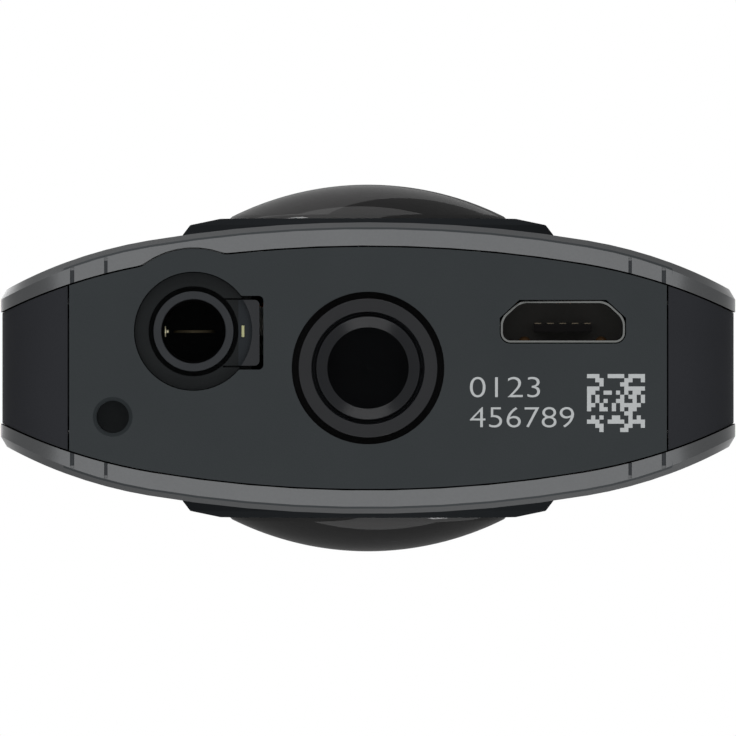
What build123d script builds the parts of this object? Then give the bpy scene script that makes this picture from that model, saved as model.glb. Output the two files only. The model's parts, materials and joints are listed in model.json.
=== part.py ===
from build123d import *
import math
import os

os.makedirs("parts", exist_ok=True)

# All lengths are millimetres. The origin is the mouth of the tripod socket, on the base plane.
# +Z is up, the shutter faces -Y, and the side keys face +X.

# Body outline and the section of its covers
width = 45.2
height = 130.6
body_depth = 17.9
crown_radius = 82.0
shoulder_width = 9.1
rim_drop = 4.323
top_corner_radius = 16.0
base_corner_radius = 4.1
rim_chamfer = 0.43

# Clearances
seam = 0.1
fit = 0.05
press = 0.02
running = 0.15
overrun = 1.0

# Covers
lip = 1.42
seam_drop = 4.097
cover_wall = 1.0
lip_reach = 2.6
groove_insets = (4.43, 6.5)
groove_widths = (0.26, 0.21)
groove_length = 0.95
groove_depth = 0.3
post_radius = 1.7
low_post_inset = 2.6
high_post_inset = 4.9
high_post_drop = 3.9
peg_radius = 1.2
peg_tip_radius = 0.8
low_peg_inset = 8.4
high_peg_inset = 9.9

# Side frame
frame_inset = 0.1
frame_wall = 1.5
foot_width = 4.15
lug_length = 3.6
lug_cover_gap = 1.39
lug_height = 4.4
low_lug_rise = 9.6
high_lug_drop = 8.0

# Base plate
plate_thickness = 1.4
plate_rib = 0.7
plate_rib_inset = 0.5
plate_rib_height = 1.5
plate_tab_width = 3.0
plate_tab_length = 1.6
plate_tab_thickness = 0.8
plate_tab_gap = 0.3
locating_inset = 2.77
locating_cover_gap = 4.377
locating_radius = 1.0
locating_mouth_radius = 1.225
locating_depth = 3.4
locating_wall = 0.9

# Tripod bush
bush_bore_radius = 2.49
bush_mouth_radius = 3.16
bush_step_radius = 3.475
bush_step_depth = 0.12
bush_flange_radius = 4.265
bush_flange_thickness = 1.45
bush_radius = 3.9
bush_bore_depth = 7.0
bush_length = 9.2
bush_groove_width = 0.425
bush_knurl_gap = 0.35

# Microphone jack
jack_place_share = 0.3353
jack_cover_gap = 5.99
jack_bore_radius = 1.8
jack_mouth_radius = 1.975
jack_sleeve_radius = 2.46
jack_sleeve_recess = 0.35
jack_gap_radius = 2.765
jack_gap_depth = 1.2
jack_seat_radius = 3.66
jack_seat_depth = 0.75
jack_length = 14.0
jack_sleeve_end = 12.2
jack_body_half_width = 3.8
jack_body_half_depth = 3.2
jack_end_wall = 1.2
key_reach = 4.3
key_half_height = 2.27
key_offset = 0.09
key_gap = 0.25
key_recess = 0.2
key_corner = 0.3
bulge_radius = 5.16
bulge_blend = 1.2
contact_width = 0.83
contact_thickness = 0.25
contact_place = 3.04
tip_width = 2.6

# USB receptacle
usb_place_share = 0.397
usb_y = -2.84
usb_width = 7.62
usb_depth = 2.55
usb_narrow_width = 5.3
usb_corner = 0.6
usb_wall = 0.12
usb_gap = 0.07
usb_recess = 0.3
usb_length = 5.6
usb_straight_share = 0.58
tongue_width = 3.52
tongue_thickness = 0.49
tongue_offset = 0.37
tongue_recess = 0.9
tongue_root = 1.3
usb_contact_pitch = 0.7
usb_contact_width = 0.34
usb_contact_thickness = 0.12
usb_contact_count = 5

# Chassis
chassis_thickness = 1.2
chassis_side_gap = 1.6
chassis_low = 17.4
chassis_jack_gap = 0.52
chassis_foot_rib_gap = 0.3
chassis_foot_height = 11.0
chassis_corner = 2.5
shelf_half_width = 13.0
shelf_half_depth = 3.2
shelf_thickness = 2.3
rail_wall = 1.0
shelf_gap = 0.3
rail_half_depth = 3.1
window_side = 7.9
window_ends = 24.0
window_corner = 3.0

# Boards
board_thickness = 0.8
board_gap = 0.6
main_board_inset = 3.8
main_board_rise = 5.2
main_board_drop = 7.1
board_corner = 1.2
connector_board_left_inset = 3.95
connector_board_right_inset = 1.95
connector_board_top = 18.0
connector_board_arm = 2.5
connector_board_clear = 0.3

# Parts on the main board
can_inset = 3.6
can_height = 1.8
can_wall = 0.2
can_end = 3.0
can_switch_gap = 7.1
can_corner = 1.0
chip_thickness = 0.9
chip_width_share = 0.75
chip_height_share = 0.54
chip_place_share = 0.467
small_chip_size = 4.5
small_chip_inset = 6.1
plug_width = 7.0
plug_height = 3.0
plug_thickness = 1.1
plug_rise = 4.0
spreader_thickness = 0.3
spreader_margin = 1.0

# Battery
battery_inset = 4.2
battery_cover_gap = 0.46
battery_rise = 7.0
battery_drop = 15.5
battery_corner = 1.2
battery_gap = 0.2

# Shutter
shutter_place_share = 0.5779
shutter_radius = 5.95
shutter_travel = 0.35
shutter_cap = 1.5
shutter_dish = 0.35
shutter_flange = 0.65
shutter_flange_thickness = 0.6
shutter_gap = 0.1
ring_proud = 0.1
ring_wall = 1.15
ring_flange = 1.1
ring_flange_set = 1.6
ring_flange_thickness = 0.75
stem_radius = 1.5
switch_size = 4.6
switch_thickness = 1.6
switch_bore_radius = 1.35
switch_floor = 0.4
plunger_radius = 1.2
plunger_proud = 0.55

# Side keys
key_names = ("power", "wireless", "mode")
key_pitch_share = 0.1546
key_edge_gap = 1.383
key_straight = 2.9
key_proud = 0.15
key_travel = 0.25
key_flange = 0.6
key_flange_thickness = 0.6
key_flange_gap = 0.1
key_edge = 0.25
key_stem_radius = 1.0
key_board_inset = 2.8
key_board_thickness = 0.7
key_board_half_depth = 2.9
key_board_low_end = 5.0
key_board_high_end = 2.6
key_switch_size = 3.4
key_switch_thickness = 1.3
key_bore_radius = 0.92
key_bore_floor = 0.3
key_plunger_radius = 0.8
key_plunger_proud = 0.4

# Lamps and their light guides
lamp_radius = 0.6
lamp_drop = 10.4
lamp_pitch = 3.2
lamp_count = 4
lamp_bar_half_width = 1.6
lamp_bar_thickness = 1.2
lamp_bar_inset = 1.9
led_size = 1.4
led_thickness = 0.6
power_lamp_drop = 6.1
power_lamp_rise = 7.4
power_lamp_radius = 0.5

# Microphones
mic_drop = 6.9
side_mic_drop = 1.5
mic_hole_radius = 0.5
mic_boot_size = 4.6
mic_boot_thickness = 2.4
mic_size = 3.4
mic_thickness = 1.0

# Speaker
speaker_rise = 14.6
speaker_length = 14.0
speaker_cover_gap = 1.34
speaker_thickness = 3.2
speaker_corner_share = 0.499
slot_count = 5
slot_pitch = 2.0
slot_width = 0.8
slot_length_share = 0.566

# Wireless antenna
antenna_half_width = 6.4
antenna_cover_gap = 1.545
antenna_thickness = 1.0

# Lenses: reach is the distance from the middle plane of the body
lens_drop = 19.5
dome_reach = 11.87
dome_radius = 9.05
dome_curve = 19.7
dome_hollow_curve = 7.6
dome_middle = 1.3
dome_ledge = 7.9
collar_top = 9.65
collar_flat_radius = 9.58
collar_slope_radius = 11.5
collar_slope_reach = 9.25
collar_radius = 12.0
collar_flank_reach = 8.6
collar_flange_radius = 12.9
collar_flange_gap = 0.114
collar_flange_thickness = 0.65
collar_bore_radius = 8.3
barrel_radius = 8.2
barrel_seat_reaches = (7.8, 7.35, 6.9, 5.0)
barrel_seat_radii = (7.5, 6.5, 5.0, 3.4)
second_apex = 7.3
second_curve = 7.5
second_hollow_curve = 4.6
second_middle = 0.56
third_radius = 3.35
third_curve = 12.0
third_front = 4.9
third_back = 3.55

# Optical block and what it holds
block_half_width = 11.0
block_half_depth = 3.25
block_half_height = 7.0
block_corner = 2.0
block_collar_gap = 0.7
block_end_thickness = 1.1
prism_half = 2.9
prism_gap = 0.08
light_bore_radius = 2.75
relay_radius = 2.6
relay_places = (3.5, 5.7, 8.3)
relay_thicknesses = (1.4, 2.0, 1.3)
relay_curves = (5.0, 4.2, 7.0)
sensor_thickness = 1.2
sensor_half_depth = 3.5
sensor_half_height = 4.3
sensor_gap = 0.08
sensor_board_collar_gap = 0.6
sensor_board_half_height = 6.2

# Screws
head_sides = 6
screw_radius = 0.8
screw_head_radius = 1.45
screw_head_height = 0.7
screw_length = 4.2
screw_clearance = 0.05
small_screw_radius = 0.6
small_screw_head_radius = 1.1
small_screw_head_height = 0.55
board_screw_inset = 1.5
board_screw_end = 1.6
optical_screw_reach = 8.6
optical_screw_length = 4.8

# Places that follow from the sizes above
half_width = width / 2
lens_height = height - lens_drop
block_middle = lens_height
frame_face = half_width - frame_inset
frame_inner = frame_face - frame_wall
foot_reach = half_width - foot_width
crown_turn = math.asin((half_width - shoulder_width) / crown_radius)
crown_centre_y = body_depth / 2 - crown_radius
plate_half = chassis_thickness / 2
shelf_top = block_middle - block_half_height - shelf_gap
chassis_high = shelf_top - shelf_thickness
chassis_half_width = frame_inner - chassis_side_gap
low_post = (chassis_half_width - low_post_inset, chassis_low + low_post_inset)
high_post = (chassis_half_width - high_post_inset, chassis_high - high_post_drop)
post_places = (low_post, high_post)
peg_places = ((chassis_half_width - low_peg_inset, low_post[1]),
              (chassis_half_width - high_peg_inset, high_post[1]))
lug_heights = (chassis_low + low_lug_rise, chassis_high - high_lug_drop)
bush_reach = bush_flange_radius + bush_groove_width
jack_free_room = foot_reach - bush_reach - 2 * key_reach
jack_x = -bush_reach - key_reach - jack_free_room * jack_place_share
locating_x = locating_inset - foot_reach
chassis_neck = -jack_x - jack_body_half_width - chassis_jack_gap
usb_free_room = foot_reach - chassis_neck - usb_width
usb_x = chassis_neck + usb_width / 2 + usb_free_room * usb_place_share
chassis_foot_half_depth = (body_depth / 2 - lip - seam - plate_rib_inset - plate_rib
                           - chassis_foot_rib_gap)
board_back = -plate_half - board_gap
board_front = board_back - board_thickness
main_board_half_width = chassis_half_width - main_board_inset
main_board_low = chassis_low + main_board_rise
main_board_high = chassis_high - main_board_drop
board_screw_places = tuple((main_board_half_width - board_screw_inset, z)
                           for z in (main_board_low + board_screw_end, main_board_high - board_screw_end))
battery_half_width = chassis_half_width - battery_inset
shutter_height = chassis_low + (chassis_high - chassis_low) * shutter_place_share
shutter_face = body_depth / 2
shutter_back = shutter_face - shutter_cap - shutter_flange_thickness
ring_flange_front = shutter_face - ring_flange_set
switch_top = -board_front + switch_thickness
lamp_heights = tuple(shutter_height - lamp_drop - index * lamp_pitch for index in range(lamp_count))
can_half_width = main_board_half_width - can_inset
can_spans = ((main_board_low + can_end, lamp_heights[-1] - can_end),
             (shutter_height + switch_size / 2 + can_switch_gap, main_board_high - can_end - can_wall))
key_face = frame_face + key_proud
key_board_face = frame_inner - key_board_inset
key_switch_face = key_board_face + key_switch_thickness
power_lamp_height = lug_heights[1] - power_lamp_drop
key_pitch = (chassis_high - chassis_low) * key_pitch_share
key_heights = tuple(power_lamp_height - power_lamp_rise - index * key_pitch
                    for index in range(len(key_names)))
key_board_low = key_heights[-1] - key_board_low_end
key_board_high = power_lamp_height + key_board_high_end
mic_height = chassis_high - mic_drop
side_mic_height = chassis_high - side_mic_drop
speaker_low = chassis_low + speaker_rise
speaker_high = speaker_low + speaker_length


# Basic forms

def block(x_span, y_span, z_span):
    """Rectangular block between two planes on each axis."""
    size = [high - low for low, high in (x_span, y_span, z_span)]
    middle = [(high + low) / 2 for low, high in (x_span, y_span, z_span)]
    return Pos(*middle) * Box(*size)


def along_y(radius, y_span, x, z):
    """Round rod along Y."""
    low, high = y_span
    return Pos(x, (low + high) / 2, z) * Rot(90, 0, 0) * Cylinder(radius, high - low)


def along_x(radius, x_span, y, z):
    """Round rod along X."""
    low, high = x_span
    return Pos((low + high) / 2, y, z) * Rot(0, 90, 0) * Cylinder(radius, high - low)


def along_z(radius, z_span, x, y):
    """Round rod along Z."""
    low, high = z_span
    return Pos(x, y, (low + high) / 2) * Cylinder(radius, high - low)


def facing_y(sketch, y_span, x, z):
    """Prism along Y from a sketch drawn as seen from the front."""
    low, high = y_span
    return extrude(Plane((x, low, z), (1, 0, 0), (0, 1, 0)) * Rot(180, 0, 0) * sketch, high - low,
                   dir=(0, 1, 0))


def facing_x(sketch, x_span, y, z):
    """Prism along X from a sketch whose own X runs along Y."""
    low, high = x_span
    return extrude(Plane((low, y, z), (0, 1, 0), (1, 0, 0)) * sketch, high - low, dir=(1, 0, 0))


def turned_on_lens_axis(points):
    """Ring turned about the lens axis from points of radius and reach, on the front side."""
    outline = Polyline(*[(radius, -reach) for radius, reach in points], close=True)
    face = Pos(0, 0, lens_height) * make_face(outline)
    return revolve(face, Axis((0, 0, lens_height), (0, 1, 0)), 360)


def turned_on_z(points, x, y):
    """Ring turned about a vertical axis from points of radius and height."""
    face = Plane.XZ * make_face(Polyline(*points, close=True))
    return Pos(x, y, 0) * revolve(face, Axis.Z, 360)


def to_rear(part):
    """The same piece on the rear side of the body."""
    return part.rotate(Axis.Z, 180)


def both_sides(part):
    """A piece and its mirror image across the middle of the body."""
    return part + mirror(part, Plane.YZ)


def group(parts):
    """Separate solids that share one node."""
    return Compound(children=[solid for part in parts for solid in part.solids()])


def save(part, name):
    """Write one node."""
    export_step(part, f"parts/{name}.step")


# Body form

def shoulder_through(inset, fall):
    """Radius of the shoulder that leaves the crown in line and falls so far at the side."""
    crown = crown_radius - inset
    run = half_width - math.sin(crown_turn) * crown
    drop = fall - crown + math.cos(crown_turn) * crown
    return (run ** 2 + drop ** 2) / (2 * (drop * math.cos(crown_turn) - run * math.sin(crown_turn)))


outside = (0, shoulder_through(0, rim_drop))
cover_inside = (cover_wall, outside[1] - cover_wall)
lip_inside = (lip, shoulder_through(lip, seam_drop))


def under_lip(depth):
    """Surface that lies a depth below the inside of the cover's lip."""
    return lip_inside[0] + depth, lip_inside[1] - depth


def skin(x, surface):
    """Half depth at x of a surface, which is its crown's inset and the radius of its shoulder."""
    inset, shoulder = surface
    x = abs(x)
    arm = crown_radius - inset - shoulder
    if x < math.sin(crown_turn) * (crown_radius - inset):
        return crown_centre_y + math.sqrt((crown_radius - inset) ** 2 - x ** 2)
    rise = math.sqrt(shoulder ** 2 - (x - math.sin(crown_turn) * arm) ** 2)
    return crown_centre_y + math.cos(crown_turn) * arm + rise


jack_y = jack_cover_gap - skin(jack_x, outside)
lug_depth = skin(frame_inner, cover_inside) - plate_half - fit - lug_cover_gap
speaker_half_depth = skin(frame_inner, cover_inside) - speaker_cover_gap
slot_length = 2 * speaker_half_depth * slot_length_share
antenna_half_depth = skin(frame_inner, cover_inside) - antenna_cover_gap
key_width = 2 * (skin(half_width, lip_inside) - key_edge_gap)
key_length = key_width + key_straight
locating_y = skin(locating_x, outside) - locating_cover_gap
collar_shoulder = max(half_width - lens_drop, 0) + collar_flange_radius
collar_flange_front = skin(collar_shoulder, cover_inside) - collar_flange_gap
collar_flange_back = collar_flange_front - collar_flange_thickness
block_end_half_depth = collar_flange_back - block_collar_gap
sensor_board_half_depth = collar_flange_back - sensor_board_collar_gap


def section(surface, x_from, x_to):
    """Face across the depth of the body: crown arcs and shoulder arcs, with straight ends."""
    crown_end = math.sin(crown_turn) * (crown_radius - surface[0])
    stops = [x_from] + [x for x in (-crown_end, crown_end) if x > x_from] + [x_to]
    edges = []
    for side in (-1, 1):
        for start, end in zip(stops, stops[1:]):
            places = (start, (start + end) / 2, end)
            edges.append(ThreePointArc(*[(x, side * skin(x, surface)) for x in places]))
    for x in (x_from, x_to):
        edges.append(Line((x, -skin(x, surface)), (x, skin(x, surface))))
    return make_face(edges)


def front_outline(edge):
    """Front outline of the body, inset by edge, with large top corners and small base corners."""
    half = half_width - edge
    box = Polyline((-half, edge), (half, edge), (half, height - edge), (-half, height - edge), close=True)
    face = make_face(box)
    face = fillet(face.vertices().sort_by(Axis.Y)[:2], base_corner_radius - edge)
    return fillet(face.vertices().sort_by(Axis.Y)[-2:], top_corner_radius - edge)


def outline_prism(edge):
    """The front outline carried right through the depth."""
    return extrude(Plane.XZ * front_outline(edge), body_depth, both=True)


def body_form(surface, edge):
    """The body's form between two cover surfaces, with its outline inset by edge."""
    half = half_width - edge
    rise = height - top_corner_radius
    turn_x = half_width - top_corner_radius
    corner_section = Pos(0, 0, rise) * section(surface, turn_x, half)
    axis = Axis((turn_x, 0, rise), (0, -1, 0))
    right = revolve(corner_section, axis, 90)
    top = extrude(corner_section.rotate(axis, 90), 2 * turn_x, dir=(-1, 0, 0))
    straight = extrude(Pos(0, 0, edge) * section(surface, -half, half), rise - edge)
    ends = straight.edges().filter_by(Axis.Y).group_by(Axis.Z)[0]
    straight = fillet(ends, base_corner_radius - edge)
    return straight + both_sides(right) + top


def rim_edges(form):
    """Edges of the rim that runs round the covers."""
    rim_y = skin(half_width, outside)
    return [edge for edge in form.edges()
            if edge.center().Z < base_corner_radius and abs(edge.center().Y) > rim_y]


def base_outline(clearance):
    """Outline of the base plate as seen from below, with its bulge round the jack."""
    reach = foot_reach - seam + clearance
    face = section(under_lip(seam - clearance), -reach, reach)
    bulge = Pos(jack_x, jack_y) * Circle(bulge_radius - seam + clearance)
    face = face + (bulge & Rectangle(2 * reach, body_depth))
    near = face.vertices().filter_by(lambda v: v.Y < jack_y and abs(v.X - jack_x) < bulge_radius)
    return fillet(near.filter_by(lambda v: abs(v.X) < reach - bulge_blend), bulge_blend)


def cover(side):
    """Bent cover of one side: a thin dished wall with a thicker lip and a chamfered rim."""
    form = body_form(outside, 0)
    form = chamfer(rim_edges(form), rim_chamfer)
    pocket = body_form(cover_inside, 0) & outline_prism(lip_reach)
    form = form - body_form(under_lip(0), 0) - pocket
    high = height + overrun
    form = form & block((-width, width), (0, side * body_depth) if side > 0 else (-body_depth, 0),
                        (-overrun, high))
    opening = along_y(collar_radius + seam, (0, side * body_depth) if side > 0 else (-body_depth, 0),
                      0, lens_height)
    return form - opening


def groove_cuts(side):
    """Short grooves in the lip at the base."""
    cuts = []
    for inset, groove_width in zip(groove_insets, groove_widths):
        place = half_width - inset
        inner = skin(place, under_lip(0))
        span = sorted((side * (inner - overrun), side * (inner + groove_length)))
        for x in (-place, place):
            x_span = (x - groove_width / 2, x + groove_width / 2)
            cuts.append(block(x_span, span, (-overrun, groove_depth)))
    return cuts


def front_shell():
    """Front cover, with openings for the lens, shutter, lamps and a microphone."""
    shell = cover(-1)
    through = (-body_depth, -shelf_half_depth)
    shell = shell - along_y(shutter_radius + running + ring_wall + seam, through, 0, shutter_height)
    for z in lamp_heights:
        shell = shell - along_y(lamp_radius + fit, through, 0, z)
    shell = shell - along_y(mic_hole_radius, through, 0, mic_height)
    shell = shell - extrude(base_outline(seam), plate_thickness + seam)
    for cut in groove_cuts(-1):
        shell = shell - cut
    for x, z in post_places:
        seat = cover_wall / 2 - skin(x, outside)
        post = along_y(post_radius, (seat, -plate_half - seam), x, z)
        hole = along_y(screw_radius + press, (-plate_half - seam - screw_length, overrun), x, z)
        shell = shell + both_sides(post) - both_sides(hole)
    return shell


def rear_shell():
    """Rear cover, with pegs that seat in the chassis."""
    shell = cover(1)
    through = (shelf_half_depth, body_depth)
    shell = shell - along_y(mic_hole_radius, through, 0, mic_height)
    shell = shell - extrude(base_outline(seam), plate_thickness + seam)
    for cut in groove_cuts(1):
        shell = shell - cut
    for x, z in peg_places:
        seat = skin(x, outside) - cover_wall / 2
        peg = along_y(peg_radius, (plate_half + seam, seat), x, z)
        tip = along_y(peg_tip_radius, (-plate_half / 2, plate_half + seam), x, z)
        shell = shell + both_sides(peg + tip)
    return shell


def key_slot(clearance):
    """Outline of a side key, drawn upright."""
    return Rot(0, 0, 90) * SlotOverall(key_length + 2 * clearance, key_width + 2 * clearance)


def side_frame():
    """Band between the covers: over the top, down both sides and round into two feet."""
    frame = body_form(under_lip(seam), frame_inset) - outline_prism(frame_inset + frame_wall)
    foot_gap = block((-foot_reach, foot_reach), (-body_depth, body_depth),
                     (-overrun, top_corner_radius))
    frame = frame - foot_gap
    for z in lug_heights:
        lug = block((frame_inner - lug_length, frame_inner + overrun / 2),
                    (plate_half + fit, plate_half + fit + lug_depth),
                    (z - lug_height / 2, z + lug_height / 2))
        hole = along_y(screw_radius + press, (0, plate_half + lug_depth + overrun),
                       chassis_half_width - screw_head_radius, z)
        frame = frame + both_sides(lug) - both_sides(hole)
    through = (frame_inner - overrun, half_width + overrun)
    for z in key_heights:
        frame = frame - facing_x(key_slot(running), through, 0, z)
    frame = frame - along_x(power_lamp_radius + fit, through, 0, power_lamp_height)
    frame = frame - both_sides(along_x(mic_hole_radius, through, 0, side_mic_height))
    speaker_middle = (speaker_low + speaker_high) / 2
    for index in range(slot_count):
        z = speaker_middle + (index - (slot_count - 1) / 2) * slot_pitch
        slot = facing_x(SlotOverall(slot_length, slot_width), (-through[1], -through[0]), 0, z)
        frame = frame - slot
    return frame


# Base

def jack_key_outline(gap):
    """Key block beside the jack, as seen from below, inset by gap on its three open sides."""
    left = jack_x + jack_gap_radius
    right = jack_x + key_reach - gap
    half = key_half_height - gap
    middle = jack_y + key_offset
    outline = Polyline((left, middle - half), (right, middle - half), (right, middle + half),
                       (left, middle + half), close=True)
    face = make_face(outline)
    return fillet(face.vertices().sort_by(Axis.X)[-2:], key_corner)


def usb_outline(inset):
    """Mouth of the receptacle: wide and straight at the rear, drawn in towards the front."""
    half = usb_width / 2
    narrow = usb_narrow_width / 2
    front = usb_y - usb_depth / 2
    rear = usb_y + usb_depth / 2
    shoulder = rear - usb_depth * usb_straight_share
    outline = Polyline((usb_x - narrow, front), (usb_x + narrow, front), (usb_x + half, shoulder),
                       (usb_x + half, rear), (usb_x - half, rear), (usb_x - half, shoulder), close=True)
    face = make_face(outline)
    face = fillet(face.vertices().sort_by(Axis.Y)[-2:], usb_corner)
    return offset(face, -inset, kind=Kind.INTERSECTION) if inset else face


def base_plate():
    """Plate with the ports, a locating rib behind it and a boss round the locating hole."""
    plate = extrude(base_outline(0), plate_thickness)
    rib_reach = foot_reach - seam - plate_rib_inset
    rib_outer = under_lip(seam + plate_rib_inset)
    rib_inner = under_lip(seam + plate_rib_inset + plate_rib)
    rib_face = section(rib_outer, -rib_reach, rib_reach)
    rib_face = rib_face - section(rib_inner, plate_rib - rib_reach, rib_reach - plate_rib)
    rib = extrude(Pos(0, 0, plate_thickness) * rib_face, plate_rib_height)
    jack_clear = jack_body_half_width + running
    jack_room = block((jack_x - jack_clear, jack_x + jack_clear),
                      (-body_depth, jack_y + jack_body_half_depth + running),
                      (0, plate_thickness + locating_depth + overrun))
    tab_low = frame_inset + frame_wall + plate_tab_gap
    tab = block((rib_reach - plate_rib, rib_reach + plate_tab_length),
                (-plate_tab_width, plate_tab_width), (tab_low, tab_low + plate_tab_thickness))
    boss_radius = locating_radius + locating_wall
    boss = along_z(boss_radius, (plate_thickness, locating_depth + locating_wall),
                   locating_x, locating_y)
    plate = plate + (rib - jack_room) + both_sides(tab) + (boss - jack_room)
    plate = plate - turned_on_z(((0, -overrun), (locating_mouth_radius, -overrun),
                                 (locating_mouth_radius, 0),
                                 (locating_radius, locating_mouth_radius - locating_radius),
                                 (locating_radius, locating_depth), (0, locating_depth)),
                                locating_x, locating_y)
    through = plate_thickness + plate_rib_height + overrun
    plate = plate - along_z(bush_flange_radius + bush_groove_width, (-overrun, through), 0, 0)
    seat = Pos(jack_x, jack_y) * Circle(jack_seat_radius) + jack_key_outline(0)
    plate = plate - extrude(Pos(0, 0, -overrun) * seat, through + overrun)
    return plate - extrude(Pos(0, 0, -overrun) * usb_outline(-usb_gap), through + overrun)


def tripod_bush():
    """Threaded bush: stepped flange, lead-in cone, blind bore and a body with a key groove."""
    lead = bush_mouth_radius - bush_bore_radius
    middle = (bush_flange_thickness + bush_length) / 2
    points = ((bush_bore_radius, bush_step_depth + lead), (bush_mouth_radius, bush_step_depth),
              (bush_step_radius, bush_step_depth), (bush_step_radius, 0), (bush_flange_radius, 0),
              (bush_flange_radius, bush_flange_thickness), (bush_radius, bush_flange_thickness),
              (bush_radius, middle - bush_knurl_gap), (bush_radius - bush_knurl_gap, middle),
              (bush_radius, middle + bush_knurl_gap), (bush_radius, bush_length), (0, bush_length),
              (0, bush_bore_depth), (bush_bore_radius, bush_bore_depth))
    return turned_on_z(points, 0, 0)


def mic_jack_housing():
    """Moulded jack housing: square body, round nose in the base plate and a key block."""
    body = block((jack_x - jack_body_half_width, jack_x + jack_body_half_width - key_gap),
                 (jack_y - jack_body_half_depth, jack_y + jack_body_half_depth),
                 (plate_thickness + fit, jack_length + jack_end_wall))
    body = fillet(body.edges().filter_by(Axis.Z), key_corner)
    nose = along_z(jack_seat_radius - fit, (jack_seat_depth, plate_thickness + fit), jack_x, jack_y)
    key = extrude(Pos(0, 0, key_recess) * jack_key_outline(key_gap), plate_thickness + fit - key_recess)
    key = key - along_z(jack_seat_radius - fit, (0, jack_seat_depth), jack_x, jack_y)
    housing = body + nose + key
    housing = housing - along_z(jack_gap_radius, (0, jack_gap_depth), jack_x, jack_y)
    return housing - along_z(jack_sleeve_radius + press, (0, jack_length), jack_x, jack_y)


def mic_jack_sleeve():
    """Sleeve of the jack, with a small lead-in and a round bore."""
    lead = jack_mouth_radius - jack_bore_radius
    points = ((jack_bore_radius, jack_sleeve_recess + lead), (jack_mouth_radius, jack_sleeve_recess),
              (jack_sleeve_radius, jack_sleeve_recess), (jack_sleeve_radius, jack_sleeve_end),
              (jack_bore_radius, jack_sleeve_end))
    return turned_on_z(points, jack_x, jack_y)


def jack_contacts():
    """Tip contact and spring blade at the end of the bore, and the contact on the nose."""
    tip = block((jack_x - tip_width / 2, jack_x + tip_width / 2),
                (jack_y - contact_thickness / 2, jack_y + contact_thickness / 2),
                (jack_length - contact_width - fit, jack_length - fit))
    blade = block((jack_x - jack_bore_radius + fit, jack_x - jack_bore_radius + fit + contact_thickness),
                  (jack_y - contact_width / 2, jack_y + contact_width / 2),
                  (jack_sleeve_end + fit, jack_length - fit))
    middle = jack_x + contact_place
    strip = block((middle - contact_thickness / 2, middle + contact_thickness / 2),
                  (jack_y - contact_width / 2, jack_y + contact_width / 2),
                  (jack_seat_depth - fit, jack_seat_depth))
    return group([tip, blade, strip])


def usb_receptacle():
    """Bent metal shell of the receptacle."""
    tube = extrude(Pos(0, 0, usb_recess) * usb_outline(0), usb_length)
    return tube - extrude(Pos(0, 0, usb_recess - overrun) * usb_outline(usb_wall),
                          usb_length + 2 * overrun)


def usb_tongue():
    """Insulator that closes the shell and carries the tongue."""
    top = usb_recess + usb_length
    root = extrude(Pos(0, 0, top - tongue_root) * usb_outline(usb_wall + press), tongue_root)
    middle = usb_y + tongue_offset
    tongue = block((usb_x - tongue_width / 2, usb_x + tongue_width / 2),
                   (middle - tongue_thickness / 2, middle + tongue_thickness / 2),
                   (usb_recess + tongue_recess, top - tongue_root / 2))
    return root + tongue


def usb_contacts():
    """Five flat contacts on the front face of the tongue."""
    face = usb_y + tongue_offset - tongue_thickness / 2
    strips = []
    for index in range(usb_contact_count):
        x = usb_x + (index - (usb_contact_count - 1) / 2) * usb_contact_pitch
        strips.append(block((x - usb_contact_width / 2, x + usb_contact_width / 2),
                            (face - usb_contact_thickness, face),
                            (usb_recess + tongue_recess + usb_contact_width,
                             usb_recess + usb_length - tongue_root)))
    return group(strips)


# Structure inside

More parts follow.
